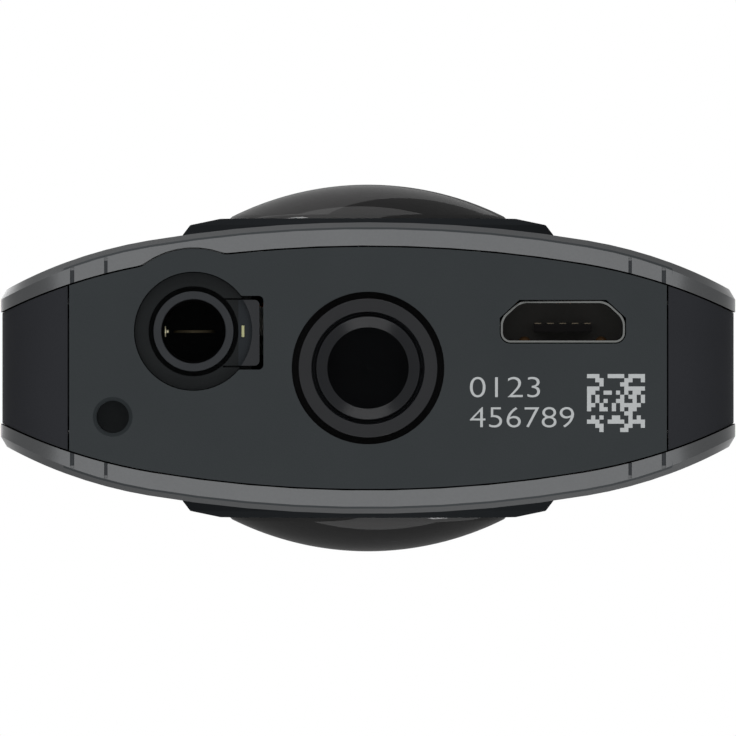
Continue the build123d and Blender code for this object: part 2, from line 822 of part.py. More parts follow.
def chassis():
    """Skeleton: a pierced plate on the middle plane, a foot round the bush and a lens shelf."""
    plate = block((-chassis_half_width, chassis_half_width), (-plate_half, plate_half),
                  (chassis_low, chassis_high))
    plate = fillet(plate.edges().filter_by(Axis.Y), chassis_corner)
    window = RectangleRounded(2 * (chassis_half_width - window_side),
                              (chassis_high - chassis_low - window_ends) / 2, window_corner)
    for side in (-1, 1):
        middle = (chassis_low + chassis_high) / 2 + side * (chassis_high - chassis_low) / 4
        plate = plate - facing_y(window, (-overrun, overrun), 0, middle)
    neck = block((-chassis_neck, chassis_neck), (-plate_half, plate_half),
                 (chassis_foot_height / 2, chassis_low + overrun))
    foot = block((-chassis_neck, chassis_neck), (-chassis_foot_half_depth, chassis_foot_half_depth),
                 (bush_flange_thickness + fit, chassis_foot_height))
    foot = chamfer(foot.edges().filter_by(Axis.Z), chassis_corner)
    shelf = block((-shelf_half_width, shelf_half_width), (-shelf_half_depth, shelf_half_depth),
                  (chassis_high - press, shelf_top))
    rail_outer = key_board_face - key_board_thickness - seam
    rail = block((rail_outer - rail_wall, rail_outer), (-rail_half_depth, rail_half_depth),
                 (key_board_low, key_board_high))
    side_notch = block((rail_outer, half_width), (-body_depth, body_depth),
                       (key_board_low - seam, key_board_high + seam))
    speaker_notch = block((-half_width, speaker_thickness + running - frame_inner),
                          (-body_depth, body_depth), (speaker_low - running, speaker_high + running))
    mic_face = frame_inner - mic_boot_thickness - mic_thickness - running
    mic_half = mic_boot_size / 2 + running
    mic_notch = block((mic_face, half_width), (-body_depth, body_depth),
                      (side_mic_height - mic_half, side_mic_height + mic_half))
    frame = plate + neck + foot + shelf - side_notch - speaker_notch - both_sides(mic_notch) + rail
    frame = frame - along_z(bush_radius + press, (0, bush_length + seam), 0, 0)
    for x, z in post_places:
        hole = along_y(screw_radius + screw_clearance, (-overrun, overrun), x, z)
        frame = frame - both_sides(hole)
    for x, z in peg_places:
        frame = frame - both_sides(along_y(peg_tip_radius + fit, (-overrun, overrun), x, z))
    for z in lug_heights:
        hole = along_y(screw_radius + screw_clearance, (-overrun, overrun),
                       chassis_half_width - screw_head_radius, z)
        frame = frame - both_sides(hole)
    for x, z in board_screw_places:
        boss = along_y(small_screw_head_radius, (board_back, 0), x, z)
        hole = along_y(small_screw_radius + press, (board_back - overrun, plate_half / 2), x, z)
        frame = frame + both_sides(boss) - both_sides(hole)
    hole = along_z(screw_radius + screw_clearance, (chassis_high - overrun, shelf_top + overrun),
                   optical_screw_reach, 0)
    head = along_z(screw_head_radius + fit, (chassis_high - screw_head_height - fit, chassis_high),
                   optical_screw_reach, 0)
    return frame - both_sides(hole) - both_sides(head)


def main_board():
    """Main circuit board on the front of the chassis."""
    board = block((-main_board_half_width, main_board_half_width), (board_front, board_back),
                  (main_board_low, main_board_high))
    board = fillet(board.edges().filter_by(Axis.Y), board_corner)
    for x, z in board_screw_places:
        hole = along_y(small_screw_radius + screw_clearance, (board_front - overrun, overrun), x, z)
        board = board - both_sides(hole)
    return board


def shield_cans():
    """Two drawn metal cans, open towards the board."""
    cans = []
    for low, high in can_spans:
        can = block((-can_half_width, can_half_width), (board_front - can_height, board_front),
                    (low, high))
        can = fillet(can.edges().filter_by(Axis.Y), can_corner)
        hollow = block((can_wall - can_half_width, can_half_width - can_wall),
                       (board_front - can_height + can_wall, overrun), (low + can_wall, high - can_wall))
        cans.append(can - hollow)
    return group(cans)


def board_chips():
    """Large chips under the cans and small ones beside them."""
    chips = []
    y_span = (board_front - chip_thickness, board_front)
    for low, high in can_spans:
        half = can_half_width * chip_width_share / 2
        half_height = (high - low) * chip_height_share / 2
        middle = (low + high) / 2
        for x in (-can_half_width * chip_place_share, can_half_width * chip_place_share):
            chips.append(block((x - half, x + half), y_span, (middle - half_height, middle + half_height)))
    half = small_chip_size / 2
    reach = main_board_half_width - small_chip_inset
    middles = [(low + high) / 2 for low, high in zip(lamp_heights[1:], lamp_heights)]
    for x, z in ((-reach, middles[0]), (-reach, middles[-1]), (reach, middles[-1])):
        chips.append(block((x - half, x + half), y_span, (z - half, z + half)))
    return group(chips)


def board_plugs():
    """Sockets for the battery lead and the flat cables."""
    plugs = []
    x = main_board_half_width - small_chip_inset
    for z in (shutter_height - plug_rise, shutter_height + plug_rise):
        plug = block((x - plug_width / 2, x + plug_width / 2), (board_front - plug_thickness, board_front),
                     (z - plug_height / 2, z + plug_height / 2))
        plugs.append(both_sides(plug))
    return group(plugs)


def heat_spreader():
    """Thin metal sheet on the upper can, bent down beside it onto the board."""
    low, high = can_spans[1]
    face = board_front - can_height - fit
    sheet = block((-can_half_width - spreader_margin, can_half_width + spreader_margin),
                  (face - spreader_thickness, face), (low, high))
    side = block((can_half_width + fit + spreader_thickness,
                  can_half_width + fit + 2 * spreader_thickness),
                 (face - spreader_thickness, board_front - fit), (low + overrun, high - overrun))
    return sheet + both_sides(side)


def connector_board():
    """Board behind the ports, with an arm that passes over the foot of the chassis."""
    rear = usb_y + usb_depth / 2 + fit
    low = plate_thickness + plate_rib_height / 2
    step = connector_board_top - connector_board_arm
    left = chassis_neck + connector_board_clear
    right = foot_reach - connector_board_right_inset
    arm_end = connector_board_left_inset - foot_reach
    outline = Polyline((left, low), (right, low), (right, connector_board_top),
                       (arm_end, connector_board_top), (arm_end, step), (left, step), close=True)
    face = make_face(outline)
    return facing_y(face, (rear, rear + board_thickness - seam), 0, 0)


def battery():
    """Flat pouch cell with soft edges."""
    front = plate_half + battery_gap
    rear = skin(battery_half_width, cover_inside) - battery_cover_gap
    cell = block((-battery_half_width, battery_half_width), (front, rear),
                 (chassis_low + battery_rise, chassis_high - battery_drop))
    return fillet(cell.edges(), battery_corner)


# Keys

def shutter_ring():
    """Trim ring in the front cover, with a flange behind it and a recess for the button's flange."""
    bore = shutter_radius + running
    outer = bore + ring_wall
    recess = shutter_radius + shutter_flange + running
    recess_front = shutter_face - shutter_cap + shutter_gap
    back = ring_flange_front - ring_flange_thickness
    points = ((bore, -shutter_face - ring_proud), (outer, -shutter_face - ring_proud),
              (outer, -ring_flange_front), (outer + ring_flange, -ring_flange_front),
              (outer + ring_flange, -back), (recess, -back), (recess, -recess_front),
              (bore, -recess_front))
    face = Pos(0, 0, shutter_height) * make_face(Polyline(*points, close=True))
    return revolve(face, Axis((0, 0, shutter_height), (0, 1, 0)), 360)


def shutter_button():
    """Round button with a dished face, a flange that keeps it in and a stem to its switch."""
    cap = along_y(shutter_radius, (-shutter_face, -shutter_face + shutter_cap), 0, shutter_height)
    cap = chamfer(cap.edges().group_by(Axis.Y)[0], key_edge)
    dish_radius = (shutter_radius ** 2 + shutter_dish ** 2) / (2 * shutter_dish)
    dish_y = -shutter_face + shutter_dish - dish_radius
    cap = cap - Pos(0, dish_y, shutter_height) * Sphere(dish_radius)
    flange = along_y(shutter_radius + shutter_flange,
                     (-shutter_face + shutter_cap, -shutter_back), 0, shutter_height)
    stem = along_y(stem_radius, (-shutter_back, -switch_top - plunger_proud), 0, shutter_height)
    return cap + flange + stem


def shutter_switch():
    """Body of the shutter switch on the main board."""
    half = switch_size / 2
    body = block((-half, half), (-switch_top, board_front),
                 (shutter_height - half, shutter_height + half))
    bore = along_y(switch_bore_radius, (-switch_top - overrun, board_front - switch_floor),
                   0, shutter_height)
    return body - bore


def shutter_plunger():
    """Plunger that the button pushes into the switch."""
    inner = board_front - switch_floor - shutter_travel - running
    return along_y(plunger_radius, (-switch_top - plunger_proud, inner), 0, shutter_height)


def side_key(z):
    """Pill-shaped key with a flange behind the frame and a stem to its switch."""
    cap = facing_x(key_slot(0), (frame_inner - key_flange_gap, key_face), 0, z)
    cap = chamfer(cap.edges().group_by(Axis.X)[-1], key_edge)
    flange_back = frame_inner - key_flange_gap - key_flange_thickness
    flange = facing_x(key_slot(key_flange), (flange_back, frame_inner - key_flange_gap), 0, z)
    stem = along_x(key_stem_radius, (key_switch_face + key_plunger_proud, flange_back), 0, z)
    return cap + flange + stem


def side_key_plunger(z):
    """Plunger of one side key's switch."""
    inner = key_board_face + key_bore_floor + key_travel + seam
    return along_x(key_plunger_radius, (inner, key_switch_face + key_plunger_proud), 0, z)


def key_switches():
    """Switch bodies of the side keys."""
    half = key_switch_size / 2
    bodies = []
    for z in key_heights:
        body = block((key_board_face, key_switch_face), (-half, half), (z - half, z + half))
        bore = along_x(key_bore_radius, (key_board_face + key_bore_floor, half_width), 0, z)
        bodies.append(body - bore)
    return group(bodies)


def side_key_board():
    """Narrow board behind the side keys."""
    board = block((key_board_face - key_board_thickness, key_board_face),
                  (-key_board_half_depth, key_board_half_depth), (key_board_low, key_board_high))
    return fillet(board.edges().filter_by(Axis.X), board_corner)


# Lamps, microphones, speaker and antenna

def lamp_guides():
    """One clear moulding: a bar with a light pipe for each lamp."""
    face = shutter_face - lamp_bar_inset
    low = min(lamp_heights) - lamp_bar_half_width
    high = max(lamp_heights) + lamp_bar_half_width
    bar = block((-lamp_bar_half_width, lamp_bar_half_width), (-face, lamp_bar_thickness - face),
                (low, high))
    bar = fillet(bar.edges().filter_by(Axis.Y), lamp_radius)
    for z in lamp_heights:
        bar = bar + along_y(lamp_radius, (-shutter_face, board_front - led_thickness - seam), 0, z)
    return bar


def lamps():
    """Light sources on the main board and the side key board."""
    sources = []
    half = led_size / 2
    for z in lamp_heights:
        sources.append(block((-half, half), (board_front - led_thickness, board_front),
                             (z - half, z + half)))
    sources.append(block((key_board_face, key_board_face + led_thickness), (-half, half),
                         (power_lamp_height - half, power_lamp_height + half)))
    return group(sources)


def power_lamp_guide():
    """Light pipe of the power lamp, with a collar behind the frame."""
    pipe = along_x(power_lamp_radius, (key_board_face + led_thickness + seam, frame_face),
                   0, power_lamp_height)
    collar = along_x(2 * power_lamp_radius, (frame_inner - power_lamp_radius - fit, frame_inner - fit),
                     0, power_lamp_height)
    return pipe + collar


def mic_stack(start, size, thickness, hole):
    """Square pieces behind the four microphone holes, each a distance behind its wall."""
    half = size / 2
    pieces = []
    for side in (-1, 1):
        wall = skin(0, cover_inside) - fit - start
        span = sorted((side * wall, side * (wall - thickness)))
        piece = block((-half, half), span, (mic_height - half, mic_height + half))
        if hole:
            piece = piece - along_y(mic_hole_radius, (-body_depth, body_depth), 0, mic_height)
        pieces.append(piece)
        wall = frame_inner - fit - start
        span = sorted((side * wall, side * (wall - thickness)))
        piece = block(span, (-half, half), (side_mic_height - half, side_mic_height + half))
        if hole:
            piece = piece - along_x(mic_hole_radius, (-width, width), 0, side_mic_height)
        pieces.append(piece)
    return group(pieces)


def speaker():
    """Small speaker behind the slots in the frame."""
    outer = fit - frame_inner
    box = block((outer, outer + speaker_thickness), (-speaker_half_depth, speaker_half_depth),
                (speaker_low, speaker_high))
    return fillet(box.edges().filter_by(Axis.X), speaker_half_depth * speaker_corner_share)


def antenna():
    """Wireless antenna under the top of the frame."""
    inner_corner = top_corner_radius - frame_inset - frame_wall
    past_flat = max(antenna_half_width - half_width + top_corner_radius, 0)
    top = height - top_corner_radius + math.sqrt(inner_corner ** 2 - past_flat ** 2) - fit
    board = block((-antenna_half_width, antenna_half_width), (-antenna_half_depth, antenna_half_depth),
                  (top - antenna_thickness, top))
    return fillet(board.edges().filter_by(Axis.Z), board_corner)


# Optics

def lens_on_axis(edge_radius, apex, back, front_curve, hollow_curve, middle):
    """Meniscus lens: domed front, ground edge, flat back rim and a round hollow."""
    body = along_y(edge_radius, (-apex, -back), 0, lens_height)
    body = body & Pos(0, front_curve - apex, lens_height) * Sphere(front_curve)
    return body - Pos(0, hollow_curve + middle - apex, lens_height) * Sphere(hollow_curve)


def lens_dome():
    """Front element of the lens, which stands out of its collar."""
    return lens_on_axis(dome_radius, dome_reach, dome_ledge, dome_curve, dome_hollow_curve, dome_middle)


def lens_bezel():
    """Collar round the lens: flat top, slope, flank, a flange behind the cover and a glass seat."""
    seat = dome_radius + fit
    return turned_on_lens_axis((
        (seat, dome_ledge), (seat, collar_top), (collar_flat_radius, collar_top),
        (collar_slope_radius, collar_slope_reach), (collar_radius, collar_flank_reach),
        (collar_radius, collar_flange_front), (collar_flange_radius, collar_flange_front),
        (collar_flange_radius, collar_flange_back), (collar_bore_radius, collar_flange_back),
        (collar_bore_radius, dome_ledge)))


def lens_barrel():
    """Stepped barrel between the collar and the optical block."""
    base = block_half_depth + fit
    points = [(barrel_radius, base), (barrel_radius, barrel_seat_reaches[0])]
    ends = barrel_seat_reaches[1:] + (base,)
    for reach, end, radius in zip(barrel_seat_reaches, ends, barrel_seat_radii):
        points.append((radius, reach))
        points.append((radius, end))
    return turned_on_lens_axis(points)


def inner_lenses():
    """Second and third elements, seated in the barrel."""
    second_radius = barrel_seat_radii[2] - press
    second = lens_on_axis(second_radius, second_apex, barrel_seat_reaches[3], second_curve,
                          second_hollow_curve, second_middle)
    third = along_y(third_radius, (-third_front, -third_back), 0, lens_height)
    third = third & Pos(0, third_curve - third_front, lens_height) * Sphere(third_curve)
    third = third & Pos(0, -third_back - third_curve, lens_height) * Sphere(third_curve)
    return group([second, third])


def optical_block():
    """Folded lens block: crossing bores for light, a prism chamber and flanges for the sensors."""
    core = block((-block_half_width, block_half_width), (-block_half_depth, block_half_depth),
                 (block_middle - block_half_height, block_middle + block_half_height))
    core = fillet(core.edges().filter_by(Axis.Y), block_corner)
    end = block((block_half_width - block_end_thickness, block_half_width),
                (-block_end_half_depth, block_end_half_depth),
                (block_middle - block_half_height + block_corner,
                 block_middle + block_half_height - block_corner))
    end = fillet(end.edges().filter_by(Axis.X), board_corner)
    core = core + both_sides(end)
    chamber = prism_half + prism_gap
    core = core - block((-chamber, chamber), (-chamber, chamber),
                        (block_middle - chamber, block_middle + chamber))
    core = core - along_y(light_bore_radius, (-body_depth, body_depth), 0, block_middle)
    core = core - along_x(relay_radius + press, (-width, width), 0, block_middle)
    base = block_middle - block_half_height
    screw_hole = along_z(screw_radius + press, (base - overrun, base + optical_screw_length),
                         optical_screw_reach, 0)
    return core - both_sides(screw_hole)


def prism():
    """Right-angle prism that turns the front lens's light towards +X."""
    low, high = -prism_half, prism_half
    face = make_face(Polyline((low + 2 * prism_gap, low), (high, low), (high, high - 2 * prism_gap),
                              close=True))
    return extrude(Pos(0, 0, block_middle - prism_half) * face, 2 * prism_half)


def relay_lenses():
    """Three round elements between the prism and its sensor."""
    elements = []
    for place, thickness, curve in zip(relay_places, relay_thicknesses, relay_curves):
        element = along_x(relay_radius, (place, place + thickness), 0, block_middle)
        element = element & Pos(place + curve, 0, block_middle) * Sphere(curve)
        elements.append(element)
    return group(elements)


def image_sensor():
    """Sensor package on the end of the optical block."""
    low = block_half_width + sensor_gap
    return block((low, low + sensor_thickness), (-sensor_half_depth, sensor_half_depth),
                 (block_middle - sensor_half_height, block_middle + sensor_half_height))


def sensor_board():
    """Small board behind the image sensor."""
    low = block_half_width + sensor_gap + sensor_thickness
    board = block((low, low + board_thickness), (-sensor_board_half_depth, sensor_board_half_depth),
                  (block_middle - sensor_board_half_height, block_middle + sensor_board_half_height))
    return fillet(board.edges().filter_by(Axis.X), board_corner)


# Screws

def screw_y(x, z, face, length, radius, head_radius, head_height, side):
    """Screw along Y whose head sits on a face; side is where the head points."""
    head = sorted((face, face + side * head_height))
    shank = sorted((face, face - side * length))
    head_outline = RegularPolygon(head_radius, head_sides)
    shank_outline = RegularPolygon(radius, head_sides)
    return facing_y(head_outline, head, x, z) + facing_y(shank_outline, shank, x, z)


def cover_screws():
    """Screws from the rear of the chassis into the posts of the front cover."""
    screws = []
    for x, z in post_places:
        for place in (-x, x):
            screws.append(screw_y(place, z, plate_half, screw_length, screw_radius,
                                  screw_head_radius, screw_head_height, 1))
    return group(screws)


def frame_screws():
    """Screws from the front of the chassis into the lugs of the side frame."""
    screws = []
    x = chassis_half_width - screw_head_radius
    for z in lug_heights:
        for place in (-x, x):
            screws.append(screw_y(place, z, -plate_half, chassis_thickness + lug_depth, screw_radius,
                                  screw_head_radius, screw_head_height, -1))
    return group(screws)


def board_screws():
    """Screws that hold the main board to the chassis."""
    screws = []
    for x, z in board_screw_places:
        for place in (-x, x):
            screws.append(screw_y(place, z, board_front, board_thickness + board_gap,
                                  small_screw_radius, small_screw_head_radius,
                                  small_screw_head_height, -1))
    return group(screws)


def optical_screws():
    """Screws up through the lens shelf into the optical block."""
    screws = []
    seat = chassis_high
    for x in (-optical_screw_reach, optical_screw_reach):
        head = extrude(Pos(x, 0, seat - screw_head_height) * RegularPolygon(screw_head_radius, head_sides),
                       screw_head_height)
        shank = extrude(Pos(x, 0, seat) * RegularPolygon(screw_radius, head_sides), optical_screw_length)
        screws.append(head + shank)
    return group(screws)


# Write every node

save(front_shell(), "front_shell")
save(rear_shell(), "rear_shell")
save(side_frame(), "side_frame")
save(base_plate(), "base_plate")
save(tripod_bush(), "tripod_bush")
save(mic_jack_housing(), "mic_jack_housing")
save(mic_jack_sleeve(), "mic_jack_sleeve")
save(jack_contacts(), "jack_contacts")
save(usb_receptacle(), "usb_receptacle")
save(usb_tongue(), "usb_tongue")
save(usb_contacts(), "usb_contacts")
save(chassis(), "chassis")
save(main_board(), "main_board")
save(shield_cans(), "shield_cans")
save(board_chips(), "board_chips")
save(board_plugs(), "board_plugs")
save(heat_spreader(), "heat_spreader")
save(connector_board(), "connector_board")
save(battery(), "battery")
save(shutter_ring(), "shutter_ring")
save(shutter_button(), "shutter_button")
save(shutter_switch(), "shutter_switch")
save(shutter_plunger(), "shutter_plunger")
for key_name, key_z in zip(key_names, key_heights):
    save(side_key(key_z), f"{key_name}_button")
    save(side_key_plunger(key_z), f"{key_name}_plunger")
save(key_switches(), "key_switches")
save(side_key_board(), "side_key_board")
save(lamp_guides(), "lamp_guides")
save(lamps(), "lamps")
save(power_lamp_guide(), "power_lamp_guide")
save(mic_stack(0, mic_boot_size, mic_boot_thickness, True), "mic_boots")
save(mic_stack(mic_boot_thickness, mic_size, mic_thickness, False), "microphones")
save(speaker(), "speaker")
save(antenna(), "antenna")
save(optical_block(), "optical_block")
for side_name, placed in (("front", lambda part: part), ("rear", to_rear)):
    save(placed(lens_bezel()), f"{side_name}_lens_bezel")
    save(placed(lens_dome()), f"{side_name}_lens_dome")
    save(placed(lens_barrel()), f"{side_name}_lens_barrel")
    save(placed(inner_lenses()), f"{side_name}_inner_lenses")
    save(placed(prism()), f"{side_name}_prism")
    save(placed(relay_lenses()), f"{side_name}_relay_lenses")
    save(placed(image_sensor()), f"{side_name}_image_sensor")
    save(placed(sensor_board()), f"{side_name}_sensor_board")
save(cover_screws(), "cover_screws")
save(frame_screws(), "frame_screws")
save(board_screws(), "board_screws")
save(optical_screws(), "optical_screws")
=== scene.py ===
import json
import logging
import math
from contextlib import contextmanager
from dataclasses import dataclass
from enum import Enum
from functools import cache
from typing import Any, Callable, Iterator, Mapping, Sequence

import bpy
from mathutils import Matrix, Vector


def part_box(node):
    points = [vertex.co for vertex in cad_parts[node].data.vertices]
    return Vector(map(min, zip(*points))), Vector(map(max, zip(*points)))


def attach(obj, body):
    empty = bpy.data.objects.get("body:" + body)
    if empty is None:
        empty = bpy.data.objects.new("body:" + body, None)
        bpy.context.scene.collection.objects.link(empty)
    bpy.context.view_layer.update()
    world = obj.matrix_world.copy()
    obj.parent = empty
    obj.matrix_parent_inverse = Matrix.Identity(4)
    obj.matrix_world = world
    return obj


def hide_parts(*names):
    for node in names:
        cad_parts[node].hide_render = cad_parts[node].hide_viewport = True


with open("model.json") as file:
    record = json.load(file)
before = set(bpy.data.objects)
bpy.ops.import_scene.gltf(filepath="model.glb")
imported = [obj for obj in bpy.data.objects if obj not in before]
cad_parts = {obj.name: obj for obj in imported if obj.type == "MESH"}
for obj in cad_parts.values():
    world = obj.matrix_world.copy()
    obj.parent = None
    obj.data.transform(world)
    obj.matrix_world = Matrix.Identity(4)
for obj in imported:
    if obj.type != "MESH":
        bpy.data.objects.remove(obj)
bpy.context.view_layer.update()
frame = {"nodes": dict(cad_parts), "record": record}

log = logging.getLogger("camera")
MM = 0.001
STEPS = 128
SEAM = 0.0005
SMOOTH = 30.0
ROUNDED_SMOOTH = 35.0
SHARP = 40.0
SHARPEST = 50.0
POLE = 0.06
POLE_ANGLE = 89.5
WHITE = (1.0, 1.0, 1.0, 1.0)
BLACK = (0.0, 0.0, 0.0, 1.0)
Point = tuple[float, float]
Colour = tuple[float, float, float]
Object = bpy.types.Object
Material = bpy.types.Material


def srgb(code: str) -> Colour:
    """Linear red, green and blue of a colour that is written with six hexadecimal digits."""
    levels = [int(code[place:place + 2], 16) / 255 for place in (0, 2, 4)]
    return tuple(v / 12.92 if v <= 0.04045 else ((v + 0.055) / 1.055) ** 2.4 for v in levels)


def opaque(colour: Colour) -> tuple[float, float, float, float]:
    """A colour with full alpha, as sockets want it."""
    return (*colour, 1.0)


def arithmetic(operation: str, swapped: bool = False) -> Callable[["Wire", Any], "Wire"]:
    """Make an operator of wires.

    Args:
        operation: Name of the Math node's operation.
        swapped: Whether the other value comes first.

    Returns:
        The operator.
    """
    def operator(wire: "Wire", other: Any) -> "Wire":
        """Add the Math node."""
        return wire.maths(operation, *((other, wire) if swapped else (wire, other)))
    return operator


class Wire:
    """A shader socket that takes part in arithmetic."""

    __add__ = arithmetic("ADD")
    __sub__ = arithmetic("SUBTRACT")
    __rsub__ = arithmetic("SUBTRACT", swapped=True)
    __mul__ = arithmetic("MULTIPLY")
    __pow__ = arithmetic("POWER")
    __gt__ = arithmetic("GREATER_THAN")
    larger = arithmetic("MAXIMUM")

    def __init__(self, graph: "Graph", socket: bpy.types.NodeSocket) -> None:
        """Keep the graph and the output socket."""
        self.graph = graph
        self.socket = socket

    def maths(self, operation: str, *values: Any) -> "Wire":
        """Add one Math node with wires or numbers on its inputs."""
        return self.graph.wire("ShaderNodeMath", dict(enumerate(values)), operation=operation)

    def wave(self) -> "Wire":
        """Sine of the value."""
        return self.maths("SINE", self)

    def within(self, low: float, high: float) -> "Wire":
        """One where this size lies between two lengths in millimetres."""
        size = self.maths("ABSOLUTE", self)
        return (size > low * MM) * (1 - (size > high * MM))


class Graph:
    """Node tree of one material or world."""

    def __init__(self, owner: Material | bpy.types.World) -> None:
        """Start with an empty tree.

        Args:
            owner: The material or world.
        """
        owner.use_nodes = True
        self.owner = owner
        self.tree = owner.node_tree
        self.tree.nodes.clear()

    def node(self, kind: str, inputs: Mapping[Any, Any] | None = None,
             **settings: Any) -> bpy.types.Node:
        """Add one node.

        Args:
            kind: The node's type.
            inputs: Values or wires by socket name or number.
            settings: Properties, set before the sockets.

        Returns:
            The new node.
        """
        made = self.tree.nodes.new(kind)
        for key, value in settings.items():
            setattr(made, key, value)
        for key, value in (inputs or {}).items():
            if isinstance(value, Wire):
                self.tree.links.new(value.socket, made.inputs[key])
            else:
                made.inputs[key].default_value = value
        return made

    def wire(self, kind: str, inputs: Mapping[Any, Any] | None = None, output: Any = 0,
             **settings: Any) -> Wire:
        """Add one node and take one of its outputs, by name or number."""
        return Wire(self, self.node(kind, inputs, **settings).outputs[output])

    def place(self, centre: Sequence[float] = (0, 0, 0), turn: Sequence[float] = (0, 0, 0),
              stretch: Sequence[float] = (1, 1, 1)) -> Wire:
        """Object coordinates, in metres, centred, then stretched and turned.

        Args:
            centre: The point in metres that becomes the origin.
            turn: Turn about X, Y and Z in radians.
            stretch: Scale along X, Y and Z.

        Returns:
            The point as a wire.
        """
        point = self.wire("ShaderNodeTexCoord", output="Object")
        moved = self.wire("ShaderNodeMapping", {0: point, 1: [-c for c in centre]})
        return self.wire("ShaderNodeMapping", {0: moved, 2: turn, 3: stretch})

    def axes(self, point: Wire) -> list[Wire]:
        """X, Y and Z of a point."""
        split = self.node("ShaderNodeSeparateXYZ", {0: point})
        return [Wire(self, output) for output in split.outputs]

    def radius(self, point: Wire) -> Wire:
        """Distance of a point from the Z axis."""
        x, y, _ = self.axes(point)
        return (x * x + y * y) ** 0.5

    def noise(self, size: float, detail: float = 3.0, point: Wire | None = None) -> Wire:
        """Cloudy pattern from 0 to 1, with clouds of a size in millimetres."""
        inputs = {"Vector": point or self.place(), "Scale": 1 / (size * MM), "Detail": detail}
        return self.wire("ShaderNodeTexNoise", inputs)

    def blend(self, share: Any, first: Any, second: Any) -> Wire:
        """Mix two colours by a share."""
        first, second = [c if isinstance(c, Wire) else opaque(c) for c in (first, second)]
        return self.wire("ShaderNodeMix", {0: share, 6: first, 7: second}, 2, data_type="RGBA")

    def bump(self, height: Wire, depth: float, strength: float) -> Wire:
        """Normal of a relief from 0 to 1, with its depth in millimetres and a share that shows."""
        inputs = {"Strength": strength, "Distance": depth * MM, "Height": height}
        return self.wire("ShaderNodeBump", inputs)

    def close(self, shader: Wire) -> Material:
        """Lead the last shader to the material's output."""
        self.node("ShaderNodeOutputMaterial", {"Surface": shader})
        return self.owner


@dataclass(frozen=True)
class Finish:
    """What every finish has: a name, a colour, a second tone that drifts over it, zones, a relief.

    A zone is a box that is the same on both sides of the X, Y and Z planes, with a tone of its own:
    the zones here are painted shade in recesses and joints, and one painted light.
    """

    name: str
    colour: str
    drift: str
    roughness: float = 0.5
    roughness_change: float = 0.08
    patch: float = 6.0
    zones: tuple[tuple[Point, Point, Point, str], ...] = ()
    depth: float = 0.002
    strength: float = 0.5
    metal: float = 0.0
    shine: float = 0.5

    def tone(self, graph: Graph, share: Wire) -> Wire:
        """Base colour that drifts between the two tones, with painted shade and painted light in
        the zones.

        Args:
            graph: The material's tree.
            share: Share of the second tone.

        Returns:
            The colour as a wire.
        """
        tone = graph.blend(share, srgb(self.colour), srgb(self.drift))
        if not self.zones:
            return tone
        x, y, z = graph.axes(graph.place())
        # Each zone lays a painted shade, or a painted light, over the base colour.
        for across, deep, high, code in self.zones:
            inside = x.within(*across) * y.within(*deep) * z.within(*high)
            tone = graph.blend(inside, tone, srgb(code))
        return tone

    def gloss(self, pattern: Wire) -> Wire:
        """Roughness that follows a pattern about its middle."""
        return (pattern - 0.5) * (2 * self.roughness_change) + self.roughness

    def layers(self, graph: Graph) -> tuple[Wire, Wire, Wire]:
        """Base colour, and the patterns that the roughness and the relief follow."""
        raise NotImplementedError

    def constants(self) -> dict[str, float]:
        """Values that are the same all over, by socket name."""
        return {"Metallic": self.metal, "Specular IOR Level": self.shine}

    def build(self) -> Material:
        """Make the material with one Principled shader.

        Returns:
            The finished material.
        """
        graph = Graph(bpy.data.materials.new(self.name))
        tone, pattern, relief = self.layers(graph)
        inputs = {"Base Color": tone, "Roughness": self.gloss(pattern),
                  "Normal": graph.bump(relief, self.depth, self.strength), **self.constants()}
        return graph.close(graph.wire("ShaderNodeBsdfPrincipled", inputs))


@dataclass(frozen=True)
class MetallicPaint(Finish):
    """Fine metallic paint with flakes in it and a satin top."""

    flake: float = 0.09
    grain: float = 0.1
    depth: float = 0.004
    strength: float = 0.6
    metal: float = 0.82
    shine: float = 0.4

    def layers(self, graph: Graph) -> tuple[Wire, Wire, Wire]:
        """Flakes change the tone, and a fine grain lies on top.

        Args:
            graph: The material's tree.

        Returns:
            Base colour, and the patterns that the roughness and the relief follow.
        """
        flakes = graph.wire("ShaderNodeTexVoronoi",
                            {"Vector": graph.place(), "Scale": 1 / (self.flake * MM)}, "Color")
        glint = graph.wire("ShaderNodeSeparateColor", {0: flakes})
        cloud = graph.noise(self.patch)
        grain = graph.noise(self.grain, 2.0)
        return self.tone(graph, cloud * 0.6 + glint * 0.4), cloud, grain


@dataclass(frozen=True)
class MouldedPlastic(Finish):
    """Moulded plastic with a spark-eroded texture."""

    grain: float = 0.12
    depth: float = 0.01
    strength: float = 0.7
    shine: float = 0.3

    def layers(self, graph: Graph) -> tuple[Wire, Wire, Wire]:
        """Fine craters in the surface, with a slow drift of tone and gloss."""
        cloud, pits = graph.noise(self.patch), graph.noise(self.grain)
        return self.tone(graph, cloud * 0.7 + pits * 0.3), cloud * 0.5 + pits * 0.5, pits


@dataclass(frozen=True)
class TurnedMetal(Finish):
    """Metal turned on a lathe, with fine grooves round one axis."""

    centre: tuple[float, float, float] = (0, 0, 0)
    turn: tuple[float, float, float] = (0, 0, 0)
    pitch: float = 0.08
    depth: float = 0.004
    strength: float = 0.7
    metal: float = 1.0

    def layers(self, graph: Graph) -> tuple[Wire, Wire, Wire]:
        """Grooves by the distance from the axis, broken up by noise.

        Args:
            graph: The material's tree.

        Returns:
            Base colour, and the patterns that the roughness and the relief follow.
        """
        radius = graph.radius(graph.place([c * MM for c in self.centre], self.turn))
        waver = graph.noise(1.5, 2.0)
        turns = radius * (2 * math.pi / (self.pitch * MM)) + waver * 3.0
        groove = turns.wave() * 0.5 + 0.5
        return self.tone(graph, groove * 0.35 + waver * 0.65), waver, groove


